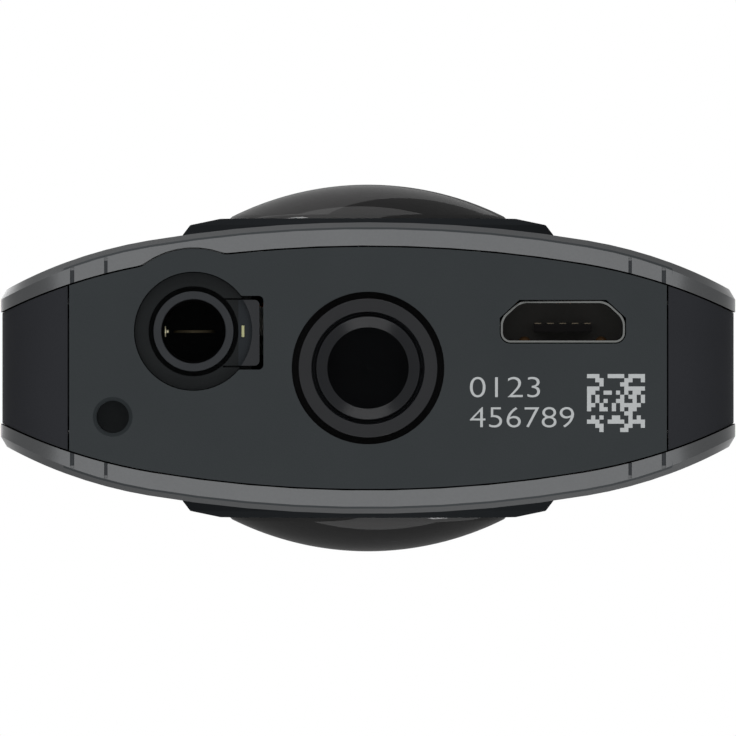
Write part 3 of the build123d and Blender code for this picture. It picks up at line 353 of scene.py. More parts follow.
@dataclass(frozen=True)
class SheetMetal(Finish):
    """Rolled, drawn or plated metal with fine lines along one axis."""

    stretch: tuple[float, float, float] = (1, 1, 1 / 14)
    line: float = 0.1
    depth: float = 0.003
    strength: float = 0.6
    metal: float = 1.0

    def layers(self, graph: Graph) -> tuple[Wire, Wire, Wire]:
        """Stretched noise makes the rolling lines, with soft patches under it."""
        lines = graph.noise(self.line, point=graph.place(stretch=self.stretch))
        return self.tone(graph, lines * 0.5 + graph.noise(self.patch) * 0.5), lines, lines


@dataclass(frozen=True)
class ClearGlass(Finish):
    """Coated optical glass or clear plastic, with the faintest haze on it."""

    index: float = 1.55
    coat: float = 1.0
    strength: float = 0.2

    def constants(self) -> dict[str, float]:
        """It lets light through, under a smooth coat."""
        return {"Transmission Weight": 1.0, "IOR": self.index, "Coat Weight": self.coat,
                "Coat Roughness": 0.02}

    def layers(self, graph: Graph) -> tuple[Wire, Wire, Wire]:
        """A trace of haze."""
        haze = graph.noise(self.patch, 4.0)
        return self.tone(graph, haze), haze, haze


@dataclass(frozen=True)
class CoatedGlass(Finish):
    """Multi-coated front element: it refracts, and mirrors a small share that grows at its rim."""

    index: float = 1.5
    mirror: float = 0.018
    rim: float = 0.12
    rim_fall: float = 8.0
    strength: float = 0.2

    def build(self) -> Material:
        """Refraction under a weak reflection that the haze unsettles a little.

        Returns:
            The finished material.
        """
        graph = Graph(bpy.data.materials.new(self.name))
        haze = graph.noise(self.patch, 4.0)
        shared = {"Roughness": self.gloss(haze),
                  "Normal": graph.bump(haze, self.depth, self.strength)}
        tint = opaque(srgb(self.colour))
        glass = {"Color": tint, "IOR": self.index, **shared}
        through = graph.wire("ShaderNodeBsdfRefraction", glass)
        mirror = graph.wire("ShaderNodeBsdfAnisotropic", {"Color": WHITE, **shared})
        facing = graph.wire("ShaderNodeLayerWeight", {"Blend": 0.5}, "Facing")
        rim = (facing ** self.rim_fall) * self.rim
        share = (haze - 0.5) * (self.mirror / 4) + self.mirror + rim
        return graph.close(graph.wire("ShaderNodeMixShader", {0: share, 1: through, 2: mirror}))


@dataclass(frozen=True)
class CircuitBoard(Finish):
    """Solder mask over copper tracks."""

    track: str = "2f6a3c"
    via: str = "b8a25a"
    via_radius: float = 0.16
    pitch: float = 1.1
    depth: float = 0.02
    strength: float = 0.8

    def layers(self, graph: Graph) -> tuple[Wire, Wire, Wire]:
        """Tracks from a brick pattern, with vias between them.

        Args:
            graph: The material's tree.

        Returns:
            Base colour, and the patterns that the roughness and the relief follow.
        """
        slanted = graph.place(turn=(math.pi / 2, 0, math.pi / 4))
        bricks = graph.wire("ShaderNodeTexBrick",
                            {"Vector": slanted, "Scale": 1 / (self.pitch * 4 * MM),
                             "Mortar Size": 0.035, "Color1": BLACK, "Color2": BLACK,
                             "Mortar": WHITE}, offset=0.37, squash=0.6)
        dots = graph.wire("ShaderNodeTexVoronoi",
                          {"Vector": graph.place(), "Scale": 1 / (self.pitch * 2 * MM)}, "Distance")
        raised = graph.wire("ShaderNodeSeparateColor", {0: bricks})
        via = 1 - (dots > self.via_radius)
        cloud = graph.noise(self.patch)
        tone = graph.blend(raised, self.tone(graph, cloud), srgb(self.track))
        return graph.blend(via, tone, srgb(self.via)), cloud, raised + via


@dataclass(frozen=True)
class PrintedInk(Finish):
    """Thin print that wears a little where the base rubs."""

    speck: float = 0.16
    worn_above: float = 0.68
    shine: float = 0.15

    def layers(self, graph: Graph) -> tuple[Wire, Wire, Wire]:
        """Small worn specks darken the ink.

        Args:
            graph: The material's tree.

        Returns:
            Base colour, and the patterns that the roughness and the relief follow.
        """
        specks = graph.noise(self.speck, 2.0)
        worn = (specks > self.worn_above) * 0.5
        return self.tone(graph, graph.noise(self.patch) * 0.5 + worn), specks, specks


NODE_FINISHES: dict[str, Finish] = {finish.name: finish for finish in (
    MetallicPaint("cover_paint", "494a4b", "444546", 0.34, 0.03, zones=(
        # The first two zones paint shade into the two slots of the lip, where deep gaps between the
        # parts would be dark.
        ((18.03, 18.31), (0.0, 6.0), (0.03, 0.32), "1e2022"),
        ((15.985, 16.215), (0.0, 6.6), (0.03, 0.32), "1e2022"),
        # This zone paints a thin band of shade low on the rim's chamfer, where the cover meets the
        # base plate.
        ((-0.1, 18.7), (5.5, 9.0), (0.012, 0.13), "303335"))),
    MouldedPlastic("frame_plastic", "2a2b2e", "252629", 0.7, shine=0.03),
    MouldedPlastic("base_plastic", "24282a", "202426", 0.6, shine=0.15),
    TurnedMetal("bush_metal", "1e1f21", "191a1c", 0.22, 0.03, depth=0.001, metal=0.0, shine=0.08),
    MouldedPlastic("black_plastic", "1b1d1f", "16181a", 0.55, shine=0.12),
    SheetMetal("gold_contact", "c9c396", "b5ad80", 0.3),
    SheetMetal("plated_steel", "4b4c4b", "434443", 0.3),
    MouldedPlastic("collar_black", "121314", "0d0e0f", 0.6, shine=0.0),
    ClearGlass("lens_glass", "8f9599", "868c92", 0.01, 0.01),
    TurnedMetal("barrel_black", "17181a", "0f1011", 0.4, pitch=0.2, metal=0.0, shine=0.3),
    MouldedPlastic("key_plastic", "1d1e21", "18191b", 0.45, shine=0.25),
    TurnedMetal("ring_metal", "8d9093", "7b7e81", 0.3),
    ClearGlass("clear_plastic", "e6e8e8", "dfe2e2", 0.25, 0.05, index=1.49, coat=0.0),
    CircuitBoard("board_green", "174a26", "123d1f", 0.35),
    SheetMetal("can_metal", "b4b4b0", "a3a39f", 0.35),
    MouldedPlastic("chip_black", "1a1b1c", "141516", 0.45),
    SheetMetal("spreader_copper", "b9714a", "a35f3b", 0.35),
    SheetMetal("cell_foil", "8f9396", "7d8184", 0.3),
    MouldedPlastic("black_rubber", "1b1b1c", "141415", 0.8, shine=0.12),
    SheetMetal("screw_steel", "8a8b8b", "747575", 0.35),
)}
# Near-black all over as painted shade: the chassis shows only in the groove round the tripod bush,
# which this darkens.
NODE_FINISHES["chassis_metal"] = MouldedPlastic("chassis_painted_shade", "0c0c0d", "090909", 0.6, grain=0.3,
                                                depth=0.02, shine=0.05)

OWN_FINISHES: dict[str, Finish] = {
    # The zone paints the tongue's deep end lighter: painted light where the inside of the port
    # looks lit.
    "usb_tongue": MouldedPlastic("tongue_plastic_painted_light", "100f0f", "0c0b0b", 0.6, shine=0.02, zones=(
        ((8.0, 16.0), (1.0, 4.5), (4.4, 6.5), "3c3b39"),)),
}


@cache
def material_of(finish: Finish) -> Material:
    """The material of a finish, which is made once."""
    return finish.build()


def ring_arc(centre: Point, radius: float, start: float, end: float, count: int) -> list[Point]:
    """Points along an arc of an outline, between two angles in degrees."""
    angles = [math.radians(start + (end - start) * step / (count - 1)) for step in range(count)]
    return [(centre[0] + radius * math.cos(a), centre[1] + radius * math.sin(a)) for a in angles]


def take(piece: Object) -> None:
    """Select one object alone and make it the active one.

    Args:
        piece: The object.
    """
    bpy.ops.object.select_all(action="DESELECT")
    piece.select_set(True)
    bpy.context.view_layer.objects.active = piece


def named(name: str) -> Object:
    """Give the active object and its data a name.

    Args:
        name: The new name.

    Returns:
        The active object.
    """
    piece = bpy.context.object
    piece.name = piece.data.name = name
    return piece


@contextmanager
def editing(piece: Object) -> Iterator[None]:
    """Edit mode with the whole mesh selected, and object mode after it.

    Args:
        piece: The object.

    Returns:
        The context of the edit.
    """
    take(piece)
    bpy.ops.object.mode_set(mode="EDIT")
    bpy.ops.mesh.select_all(action="SELECT")
    yield
    bpy.ops.object.mode_set(mode="OBJECT")


@contextmanager
def choosing(piece: Object, kind: str, wanted: Callable[[Any], bool]) -> Iterator[None]:
    """Edit mode with some edges or faces selected, and object mode after it.

    Args:
        piece: The object.
        kind: EDGE or FACE.
        wanted: Says of an edge or a face whether it is selected.

    Returns:
        The context of the edit.
    """
    with editing(piece):
        bpy.ops.mesh.select_mode(type=kind)
        bpy.ops.mesh.select_all(action="DESELECT")
    for element in piece.data.edges if kind == "EDGE" else piece.data.polygons:
        element.select = wanted(element)
    bpy.ops.object.mode_set(mode="EDIT")
    yield
    bpy.ops.object.mode_set(mode="OBJECT")


def smooth_below(angle: float) -> None:
    """Smooth the active piece's edges that are shallower than an angle in degrees."""
    bpy.ops.object.shade_smooth_by_angle(angle=math.radians(angle))


def close_up(piece: Object, smooth: float = SMOOTH) -> None:
    """Merge doubles, point the faces outwards and smooth the shallow edges."""
    with editing(piece):
        bpy.ops.mesh.remove_doubles(threshold=SEAM * MM)
        bpy.ops.mesh.normals_make_consistent(inside=False)
    smooth_below(smooth)


def turned(name: str, outline: Sequence[Point], capped: bool = False, steps: int = STEPS) -> Object:
    """Turn an outline about the Z axis, ring by ring.

    Args:
        name: Name of the piece.
        outline: Points of radius and height; a closed ring repeats its first point.
        capped: Whether the first and the last ring are filled.
        steps: Vertices of each ring.

    Returns:
        The piece.
    """
    radius, height = outline[0]
    bpy.ops.mesh.primitive_circle_add(vertices=steps, radius=radius * MM,
                                      fill_type="NGON" if capped else "NOTHING",
                                      location=(0, 0, height * MM))
    piece = named(name)
    bpy.ops.object.transform_apply()
    with editing(piece):
        for (r, z), (next_r, next_z) in zip(outline, outline[1:]):
            rise = {"value": (0, 0, (next_z - z) * MM)}
            bpy.ops.mesh.extrude_edges_move(TRANSFORM_OT_translate=rise)
            scale = next_r / r
            bpy.ops.transform.resize(value=(scale, scale, 1), center_override=(0, 0, 0))
        if capped:
            bpy.ops.mesh.edge_face_add()
    close_up(piece)
    return piece


def stand(piece: Object, at: Sequence[float], turn: Sequence[float] = (0, 0, 0)) -> None:
    """Turn a piece, move it to its place and keep both in its mesh.

    Args:
        piece: The object.
        at: Place in millimetres.
        turn: Turn about X, Y and Z in degrees.
    """
    take(piece)
    piece.rotation_euler = [math.radians(t) for t in turn]
    piece.location = [a * MM for a in at]
    bpy.ops.object.transform_apply()


def modify(piece: Object, kind: str, **settings: Any) -> None:
    """Add one modifier, set it and apply it.

    Args:
        piece: The object.
        kind: The modifier's type.
        settings: The modifier's properties.
    """
    take(piece)
    added = piece.modifiers.new(kind.lower(), kind)
    for key, value in settings.items():
        setattr(added, key, value)
    bpy.ops.object.modifier_apply(modifier=added.name)


def round_edges(piece: Object, width: float, segments: int = 2, angle: float = 25.0) -> None:
    """Round the edges that are sharper than an angle, by a width in millimetres."""
    modify(piece, "BEVEL", width=width * MM, segments=segments, limit_method="ANGLE",
           angle_limit=math.radians(angle))
    smooth_below(ROUNDED_SMOOTH)


def cut(piece: Object, cutter: Object) -> None:
    """Cut one piece out of another."""
    modify(piece, "BOOLEAN", operation="DIFFERENCE", object=cutter, solver="EXACT")
    bpy.data.objects.remove(cutter)


def block(name: str, low: Sequence[float], high: Sequence[float]) -> Object:
    """A box between two corners, to be shaped further.

    Args:
        name: Name of the piece.
        low: Lowest corner in millimetres.
        high: Highest corner in millimetres.

    Returns:
        The piece.
    """
    middle = [(a + b) / 2 * MM for a, b in zip(low, high)]
    bpy.ops.mesh.primitive_cube_add(size=1, location=middle)
    piece = named(name)
    piece.scale = [(b - a) * MM for a, b in zip(low, high)]
    bpy.ops.object.transform_apply()
    return piece


def new_object(name: str, data: bpy.types.ID) -> Object:
    """Add an object to the scene, with its data under the same name.

    Args:
        name: Name of the object and its data.
        data: The mesh or the camera that it shows.

    Returns:
        The new object.
    """
    data.name = name
    piece = bpy.data.objects.new(name, data)
    bpy.context.scene.collection.objects.link(piece)
    return piece


def merged_copy(node: str, name: str) -> Object:
    """Copy a node's mesh and merge its loose triangles.

    Args:
        node: The CAD node.
        name: Name of the copy.

    Returns:
        The piece.
    """
    piece = new_object(name, frame["nodes"][node].data.copy())
    piece.data.materials.clear()
    take(piece)
    bpy.ops.mesh.customdata_custom_splitnormals_clear()
    with editing(piece):
        bpy.ops.mesh.remove_doubles(threshold=SEAM * MM)
        bpy.ops.mesh.dissolve_limited(angle_limit=math.radians(0.5))
    smooth_below(SMOOTH)
    return piece


def hand_over(piece: Object, finish: Finish, body: str = "camera",
              replaced: Sequence[str] = ()) -> None:
    """Dress a piece, hang it on its body and hide the nodes that it stands for.
    """
    piece.data.materials.clear()
    piece.data.materials.append(material_of(finish))
    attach(piece, body)
    if replaced:
        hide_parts(*replaced)
    log.info("%s rides on %s, %d faces", piece.name, body, len(piece.data.polygons))


def node_span(node: str) -> tuple[list[float], list[float]]:
    """Lowest and highest corner of a node in millimetres."""
    low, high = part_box(node)
    return [v / MM for v in low], [v / MM for v in high]


def dress_nodes() -> None:
    """Give every CAD node its own finish or that of its material slot."""
    for part in frame["record"]["subparts"]:
        node = frame["nodes"][part["node"]]
        finish = OWN_FINISHES.get(part["node"], NODE_FINISHES[part["material_slot"]])
        for place in node.material_slots:
            place.link = "OBJECT"
            place.material = material_of(finish)
        log.info("%s has the finish %s", node.name, finish.name)


class Side(Enum):
    """The two sides that carry a lens, as the sign of Y."""

    FRONT = -1
    REAR = 1

    @property
    def word(self) -> str:
        """The side's name as nodes have it."""
        return self.name.lower()


@dataclass
class LensAssembly:
    """One lens: glass dome, collar and the turned baffles behind the glass."""

    side: Side
    dome_curve: float = 19.7
    hollow_curve: float = 7.6
    middle: float = 1.3
    ground_edge: float = 0.25
    hollow_edge: float = 0.3
    back_edge: float = 0.1
    facets: tuple[Point, ...] = ((9.58, 9.65), (11.5, 9.25), (12.0, 8.6))
    collar_edge: float = 0.05
    glue_gap: float = 0.05
    flange_thickness: float = 0.65
    ledge_width: float = 0.8
    seats: tuple[Point, ...] = ((7.8, 7.5), (7.35, 6.5), (6.9, 5.0), (5.0, 3.4))
    ring_pitch: float = 0.5
    ring_depth: float = 0.12
    glass: Finish = CoatedGlass("dome_glass", "646668", "646668", 0.008, 0.008)
    collar: Finish = MouldedPlastic("collar_satin", "242628", "1f2123", 0.6, shine=0.0)
    baffle: Finish = TurnedMetal("baffle_black", "121314", "0c0d0e", 0.4, pitch=0.12, metal=0.0,
                                 shine=0.15)

    def __post_init__(self) -> None:
        """Read the lens's place and reach from the frame."""
        low, high = node_span(f"{self.side.word}_lens_dome")
        self.centre_z = (low[2] + high[2]) / 2
        self.radius = (high[0] - low[0]) / 2
        self.ledge, self.apex = sorted((abs(low[1]), abs(high[1])))

    def ends(self, part: str) -> Point:
        """Radius and nearest reach of one of the lens's nodes."""
        low, high = node_span(f"{self.side.word}_{part}")
        return (high[0] - low[0]) / 2, min(abs(low[1]), abs(high[1]))

    def lay(self, piece: Object, finish: Finish, part: str) -> None:
        """Lay a piece that was turned about Z on the lens axis, in place of a node."""
        stand(piece, (0, 0, self.centre_z), (-90 * self.side.value, 0, 0))
        hand_over(piece, finish, replaced=[f"{self.side.word}_{part}"])

    def dome(self) -> None:
        """Front element: curved outside, ground edge, flat back rim and a round hollow."""
        outer, hollow = self.dome_curve, self.hollow_curve
        rim_angle = math.degrees(math.acos((self.radius - self.ground_edge) / outer))
        points = [(POLE, self.apex)]
        points += ring_arc((0, self.apex - outer), outer, POLE_ANGLE, rim_angle, 30)
        rim_height = points[-1][1]
        points += [(self.radius, rim_height - self.ground_edge),
                   (self.radius, self.ledge + self.back_edge),
                   (self.radius - self.back_edge, self.ledge)]
        centre = self.apex - self.middle - hollow
        reach = self.ledge + self.hollow_edge - centre
        points.append((math.sqrt(hollow ** 2 - reach ** 2) + self.hollow_edge, self.ledge))
        mouth = math.degrees(math.asin(reach / hollow))
        points += ring_arc((0, centre), hollow, mouth, POLE_ANGLE, 24)
        piece = turned(f"{self.side.word}_dome_glass", points, True)
        self.lay(piece, self.glass, "lens_dome")

    def ring(self) -> None:
        """Collar with its facets, a glue line's width away from the glass."""
        flange, back = self.ends("lens_bezel")
        seat = self.radius + self.glue_gap
        bore = seat - self.ledge_width
        shoulder = back + self.flange_thickness
        points = [(seat, self.ledge), (seat, self.facets[0][1]), *self.facets,
                  (self.facets[-1][0], shoulder), (flange, shoulder), (flange, back),
                  (bore, back), (bore, self.ledge), (seat, self.ledge)]
        piece = turned(f"{self.side.word}_collar", points)
        round_edges(piece, self.collar_edge)
        self.lay(piece, self.collar, "lens_bezel")

    def barrel(self) -> None:
        """Stepped barrel behind the glass, with fine V rings on its seats that stop stray light."""
        outer, base = self.ends("lens_barrel")
        half = self.ring_pitch / 2
        points = [(outer, base)]
        edge = outer
        for reach, radius in self.seats:
            points.append((edge, reach))
            for index in range(int((edge - half - (radius + half)) / self.ring_pitch)):
                crest = edge - half - index * self.ring_pitch
                points += [(crest, reach), (crest - half, reach - self.ring_depth)]
            points.append((radius, reach))
            edge = radius
        points += [(edge, base), (outer, base)]
        piece = turned(f"{self.side.word}_barrel", points)
        self.lay(piece, self.baffle, "lens_barrel")

    def build(self) -> None:
        """Make every piece of the lens."""
        self.dome()
        self.ring()
        self.barrel()


@dataclass
class TripodSocket:
    """Threaded bush in the base: stepped flange, lead-in cone and a real thread in its bore."""

    crest_radius: float = 2.49
    root_radius: float = 3.05
    mouth_radius: float = 3.16
    step_radius: float = 3.475
    step_depth: float = 0.12
    moat_depth: float = 0.75
    moat_floor: Point = (3.3, 3.34)
    cone_drop: float = 0.28
    flange_thickness: float = 1.45
    body_radius: float = 3.9
    bore_depth: float = 6.8
    drill_point: float = 1.6
    key_groove: float = 0.35
    pitch: float = 1.27
    ridge_share: float = 0.47
    ridge_steps: int = 64
    relief: float = 0.1
    edge: float = 0.03
    finish: Finish = NODE_FINISHES["bush_metal"]
    # The thread is the bush's own metal, painted far darker as shade deep in the bore.
    thread: Finish = TurnedMetal("thread_painted_shade", "0b0c0d", "08090a", 0.5, metal=0.0, shine=0.04)

    def bush(self) -> None:
        """Body of the bush with its bore at the root of the thread."""
        low, high = node_span("tripod_bush")
        flange, length = (high[0] - low[0]) / 2, high[2]
        middle = (self.flange_thickness + length) / 2
        cone_end = self.step_depth + self.cone_drop
        points = [(POLE, self.bore_depth + self.drill_point),
                  (self.root_radius, self.bore_depth), (self.root_radius, cone_end + self.relief),
                  (self.crest_radius, cone_end), (self.mouth_radius, self.step_depth),
                  (self.moat_floor[0], self.moat_depth), (self.moat_floor[1], self.moat_depth),
                  (self.step_radius, 0), (flange, 0), (flange, self.flange_thickness),
                  (self.body_radius, self.flange_thickness),
                  (self.body_radius, middle - self.key_groove),
                  (self.body_radius - self.key_groove, middle),
                  (self.body_radius, middle + self.key_groove),
                  (self.body_radius, length), (POLE, length)]
        piece = turned("socket_bush", points, True)
        round_edges(piece, self.edge, angle=SHARP)
        hand_over(piece, self.finish, replaced=["tripod_bush"])

    def ridge(self) -> None:
        """Ridge of the thread: a diamond on the bore's wall that is screwed about the Z axis."""
        start = self.step_depth + self.cone_drop + self.pitch / 2
        turns = int((self.bore_depth - start - self.pitch / 2) / self.pitch)
        bpy.ops.mesh.primitive_circle_add(vertices=4, radius=MM)
        piece = named("socket_thread")
        piece.scale = (self.root_radius - self.crest_radius, self.pitch * self.ridge_share, 1)
        stand(piece, (self.root_radius, 0, start), (90, 0, 0))
        modify(piece, "SCREW", axis="Z", screw_offset=self.pitch * MM, iterations=turns,
               steps=self.ridge_steps, render_steps=self.ridge_steps)
        with editing(piece):
            bpy.ops.mesh.fill_holes(sides=4)
        close_up(piece)
        hand_over(piece, self.thread)

    def build(self) -> None:
        """Make the bush and its thread."""
        self.bush()
        self.ridge()


@dataclass
class MicJack:
    """Sleeve, slotted housing and spring contacts of the microphone jack."""

    bore: float = 1.86
    mouth: float = 1.99
    throat_radius: float = 1.97
    throat_depth: float = 3.0
    lip: float = 0.05
    gap_ring: Point = (2.47, 2.755)
    gap_depths: Point = (1.0, 2.6)
    key_low: float = -4.186
    key_high: float = -0.146
    slot_width: float = 0.11
    slot_rise: Point = (0.3, 1.3)
    slot_reach: Point = (1.8, 3.3)
    tip_width: float = 2.6
    tip_bow: float = 0.12
    tip_cuts: int = 8
    sheet: float = 0.2
    blade_half_width: float = 0.34
    blade_reach: Point = (0.02, 0.1)
    stem_reach: Point = (0.08, 0.27)
    strip_half_width: float = 0.36
    strip_thickness: float = 0.2
    strip_proud: float = 0.02
    contact_rise: float = 0.05
    place_on_nose: float = 3.04
    steps: int = 96
    edge: float = 0.03
    fine_edge: float = 0.01
    # The tip spring's dark tone is painted shade, deep at the end of the bore.
    bronze: Finish = SheetMetal("spring_bronze_painted_shade", "474133", "3b362b", 0.4)
    gold: Finish = SheetMetal("side_gold", "d8d2b4", "c8c2a2", 0.3)
    dull_gold: Finish = SheetMetal("nose_gold", "747459", "6a6a50", 0.35)
    # The zones paint the key block in steps, lighter at the mouth and darker deeper in: painted
    # shade in the recess.
    moulding: Finish = MouldedPlastic("jack_moulding_painted_shade", "161819", "121415", 0.6, shine=0.07, zones=(
        ((6.4, 7.96), (0.14, 4.19), (0.15, 0.9), "1e2124"),
        ((6.4, 7.96), (0.14, 4.19), (0.15, 0.3), "292a2c")))
    # The zone paints the bore near-black past its first half millimetre: painted shade deep in the
    # jack.
    plated: Finish = TurnedMetal("sleeve_black_painted_shade", "25272a", "222426", 0.45, depth=0.001, metal=0.0,
                                 shine=0.1,
                                 zones=(((8.0, 13.5), (-0.1, 5.0), (0.45, 20.0), "040404"),))

    def __post_init__(self) -> None:
        """Read the jack's axis and its ends from the frame."""
        low, high = node_span("mic_jack_sleeve")
        self.x, self.y = (low[0] + high[0]) / 2, (low[1] + high[1]) / 2
        self.outer = (high[0] - low[0]) / 2
        self.start, self.end = low[2], high[2]
        contacts_low, contacts_high = node_span("jack_contacts")
        self.nose, self.floor = contacts_low[2], contacts_high[2]

    def sleeve(self) -> Object:
        """Sleeve with a long taper behind its mouth.

        Returns:
            The piece.
        """
        throat = self.start + self.throat_depth
        points = [(self.bore, self.end), (self.bore, throat + self.throat_radius - self.bore),
                  (self.throat_radius, throat), (self.throat_radius, self.start + self.lip),
                  (self.mouth, self.start), (self.outer, self.start), (self.outer, self.end),
                  (self.bore, self.end)]
        piece = turned("jack_sleeve", points, steps=self.steps)
        round_edges(piece, self.edge, angle=SHARP)
        stand(piece, (self.x, self.y, 0))
        return piece

    def housing(self) -> Object:
        """Moulded housing with two fine slots beside its key block and a gap round the sleeve.

        Returns:
            The piece.
        """
        piece = merged_copy("mic_jack_housing", "jack_housing")
        near, far = (self.x + reach for reach in self.slot_reach)
        for number, low in enumerate((self.key_low - self.slot_width, self.key_high), 1):
            cut(piece, block(f"slot_{number}", (near, low, self.slot_rise[0]),
                             (far, low + self.slot_width, self.slot_rise[1])))
        (inner, outer), (low, high) = self.gap_ring, self.gap_depths
        outline = [(inner, low), (outer, low), (outer, high), (inner, high), (inner, low)]
        ring = turned("gap_ring", outline, steps=self.steps)
        stand(ring, (self.x, self.y, 0))
        cut(piece, ring)
        round_edges(piece, self.fine_edge, 1, SHARPEST)
        return piece

    def upright(self, name: str, across: Point, half: float, high: Point) -> Object:
        """Block between two X and two Z, that stands evenly about the jack's Y."""
        return block(name, (across[0], self.y - half, high[0]), (across[1], self.y + half, high[1]))

    def tip(self) -> Object:
        """Spring that the plug's tip snaps behind, bowed towards the mouth.

        Returns:
            The piece.
        """
        half = self.tip_width / 2
        piece = self.upright("jack_tip_spring", (self.x - half, self.x + half), self.sheet / 2,
                             (self.floor - self.sheet, self.floor))
        with editing(piece):
            bpy.ops.mesh.subdivide(number_cuts=self.tip_cuts)
        for vertex in piece.data.vertices:
            share = (vertex.co.x / MM - self.x) / half
            vertex.co.z -= self.tip_bow * MM * (1 - share * share)
        round_edges(piece, self.edge)
        return piece

    def blade(self) -> Object:
        """Side spring with a flat head on the wall and a stem towards the middle.

        Returns:
            The piece.
        """
        wall = self.x - self.bore
        high = (self.end + self.contact_rise, self.floor)
        head, stem = [self.upright(name, (wall + reach[0], wall + reach[1]), half, high)
                      for name, reach, half in (
                          ("jack_side_spring", self.blade_reach, self.blade_half_width),
                          ("jack_side_stem", self.stem_reach, self.sheet / 2))]
        take(head)
        stem.select_set(True)
        bpy.ops.object.join()
        round_edges(head, self.fine_edge)
        return head

    def strip(self) -> Object:
        """Small gold strip let into the jack's nose.

        Returns:
            The piece.
        """
        x = self.x + self.place_on_nose
        half = self.strip_thickness / 2
        piece = self.upright("jack_nose_strip", (x - half, x + half), self.strip_half_width,
                             (self.nose - self.strip_proud, self.nose + self.contact_rise))
        round_edges(piece, self.edge)
        return piece

    def build(self) -> None:
        """Make the sleeve, the housing and the three contacts."""
        hand_over(self.sleeve(), self.plated, replaced=["mic_jack_sleeve"])
        hand_over(self.housing(), self.moulding, replaced=["mic_jack_housing"])
        hand_over(self.tip(), self.bronze, replaced=["jack_contacts"])
        hand_over(self.blade(), self.gold)
        hand_over(self.strip(), self.dull_gold)


@dataclass
class UsbPort:
    """Shell, contacts and latch dimples of the USB receptacle."""

    latch_half_pitch: float = 2.35
    latch_radius: float = 0.36
    latch_rise: float = 0.26
    latch_depth: float = 0.75
    latch_root: float = 0.05
    latch_pole_angle: float = 88
    wall: float = 0.12
    corner: float = 0.38
    corner_reach: float = 1.4
    corner_segments: int = 5
    rim_edge: float = 0.05
    contact_pitch: float = 0.76
    contact_half_width: float = 0.21
    contact_rise: float = 0.06
    contact_place: Point = (1.35, 4.6)
    contact_count: int = 5
    # The contacts get a dark, dull tone.
    contact: Finish = SheetMetal("dim_contact", "4a443a", "403b32", 0.5)
    copper: Finish = SheetMetal("latch_copper", "3a2a1a", "322416", 0.75)
    steel: Finish = NODE_FINISHES["plated_steel"]

    def __post_init__(self) -> None:
        """Read the receptacle's box from the frame."""
        self.low, self.high = node_span("usb_receptacle")

    def shell(self) -> None:
        """Bent shell with rounded slanting corners and a soft rim."""
        piece = merged_copy("usb_receptacle", "usb_shell")
        reach = (self.low[1] + self.corner_reach) * MM

        def slanting(edge: bpy.types.MeshEdge) -> bool:
            """Whether an edge runs along Z at the shell's slanting corners.

            Args:
                edge: The edge.

            Returns:
                True for such an edge.
            """
            start, end = (piece.data.vertices[index].co for index in edge.vertices)
            run = start - end
            upright = math.hypot(run.x, run.y) < SEAM * MM and abs(run.z) > MM
            return upright and start.y < reach

        with choosing(piece, "EDGE", slanting):
            bpy.ops.mesh.bevel(offset=self.corner * MM, segments=self.corner_segments,
                               affect="EDGES")
        round_edges(piece, self.rim_edge, angle=SHARPEST)
        hand_over(piece, self.steel, replaced=["usb_receptacle"])

    def contacts(self) -> None:
        """Five contacts let into the tongue: one is modelled and the others are its copies."""
        low, high = node_span("usb_contacts")
        half, rise, (start, end) = self.contact_half_width, self.contact_rise, self.contact_place
        first = block("usb_contact_1", (-half, high[1] - rise, start), (half, high[1] + rise, end))
        round_edges(first, rise / 3)
        pieces = [first] + [new_object(f"usb_contact_{number}", first.data.copy())
                            for number in range(2, self.contact_count + 1)]
        for number, piece in enumerate(pieces):
            offset = (number - (self.contact_count - 1) / 2) * self.contact_pitch
            stand(piece, ((low[0] + high[0]) / 2 + offset, 0, 0))
            hand_over(piece, self.contact,
                      replaced=[] if number else ["usb_contacts"])

    def latches(self) -> None:
        """Two pressed dimples of springs on the shell's rear wall."""
        middle = (self.low[0] + self.high[0]) / 2
        curve = (self.latch_radius ** 2 + self.latch_rise ** 2) / (2 * self.latch_rise)
        edge = math.degrees(math.acos(self.latch_radius / curve))
        points = [(self.latch_radius, -self.latch_root)]
        points += ring_arc((0, self.latch_rise - curve), curve, edge, self.latch_pole_angle, 8)
        for number, side in enumerate((-1, 1), 1):
            piece = turned(f"usb_latch_{number}", points, True, 32)
            stand(piece, (middle + side * self.latch_half_pitch, self.high[1] - self.wall,
                          self.low[2] + self.latch_depth), (90, 0, 0))
            hand_over(piece, self.copper)

    def build(self) -> None:
        """Make the shell, the contacts and the dimples."""
        self.shell()
        self.contacts()
        self.latches()


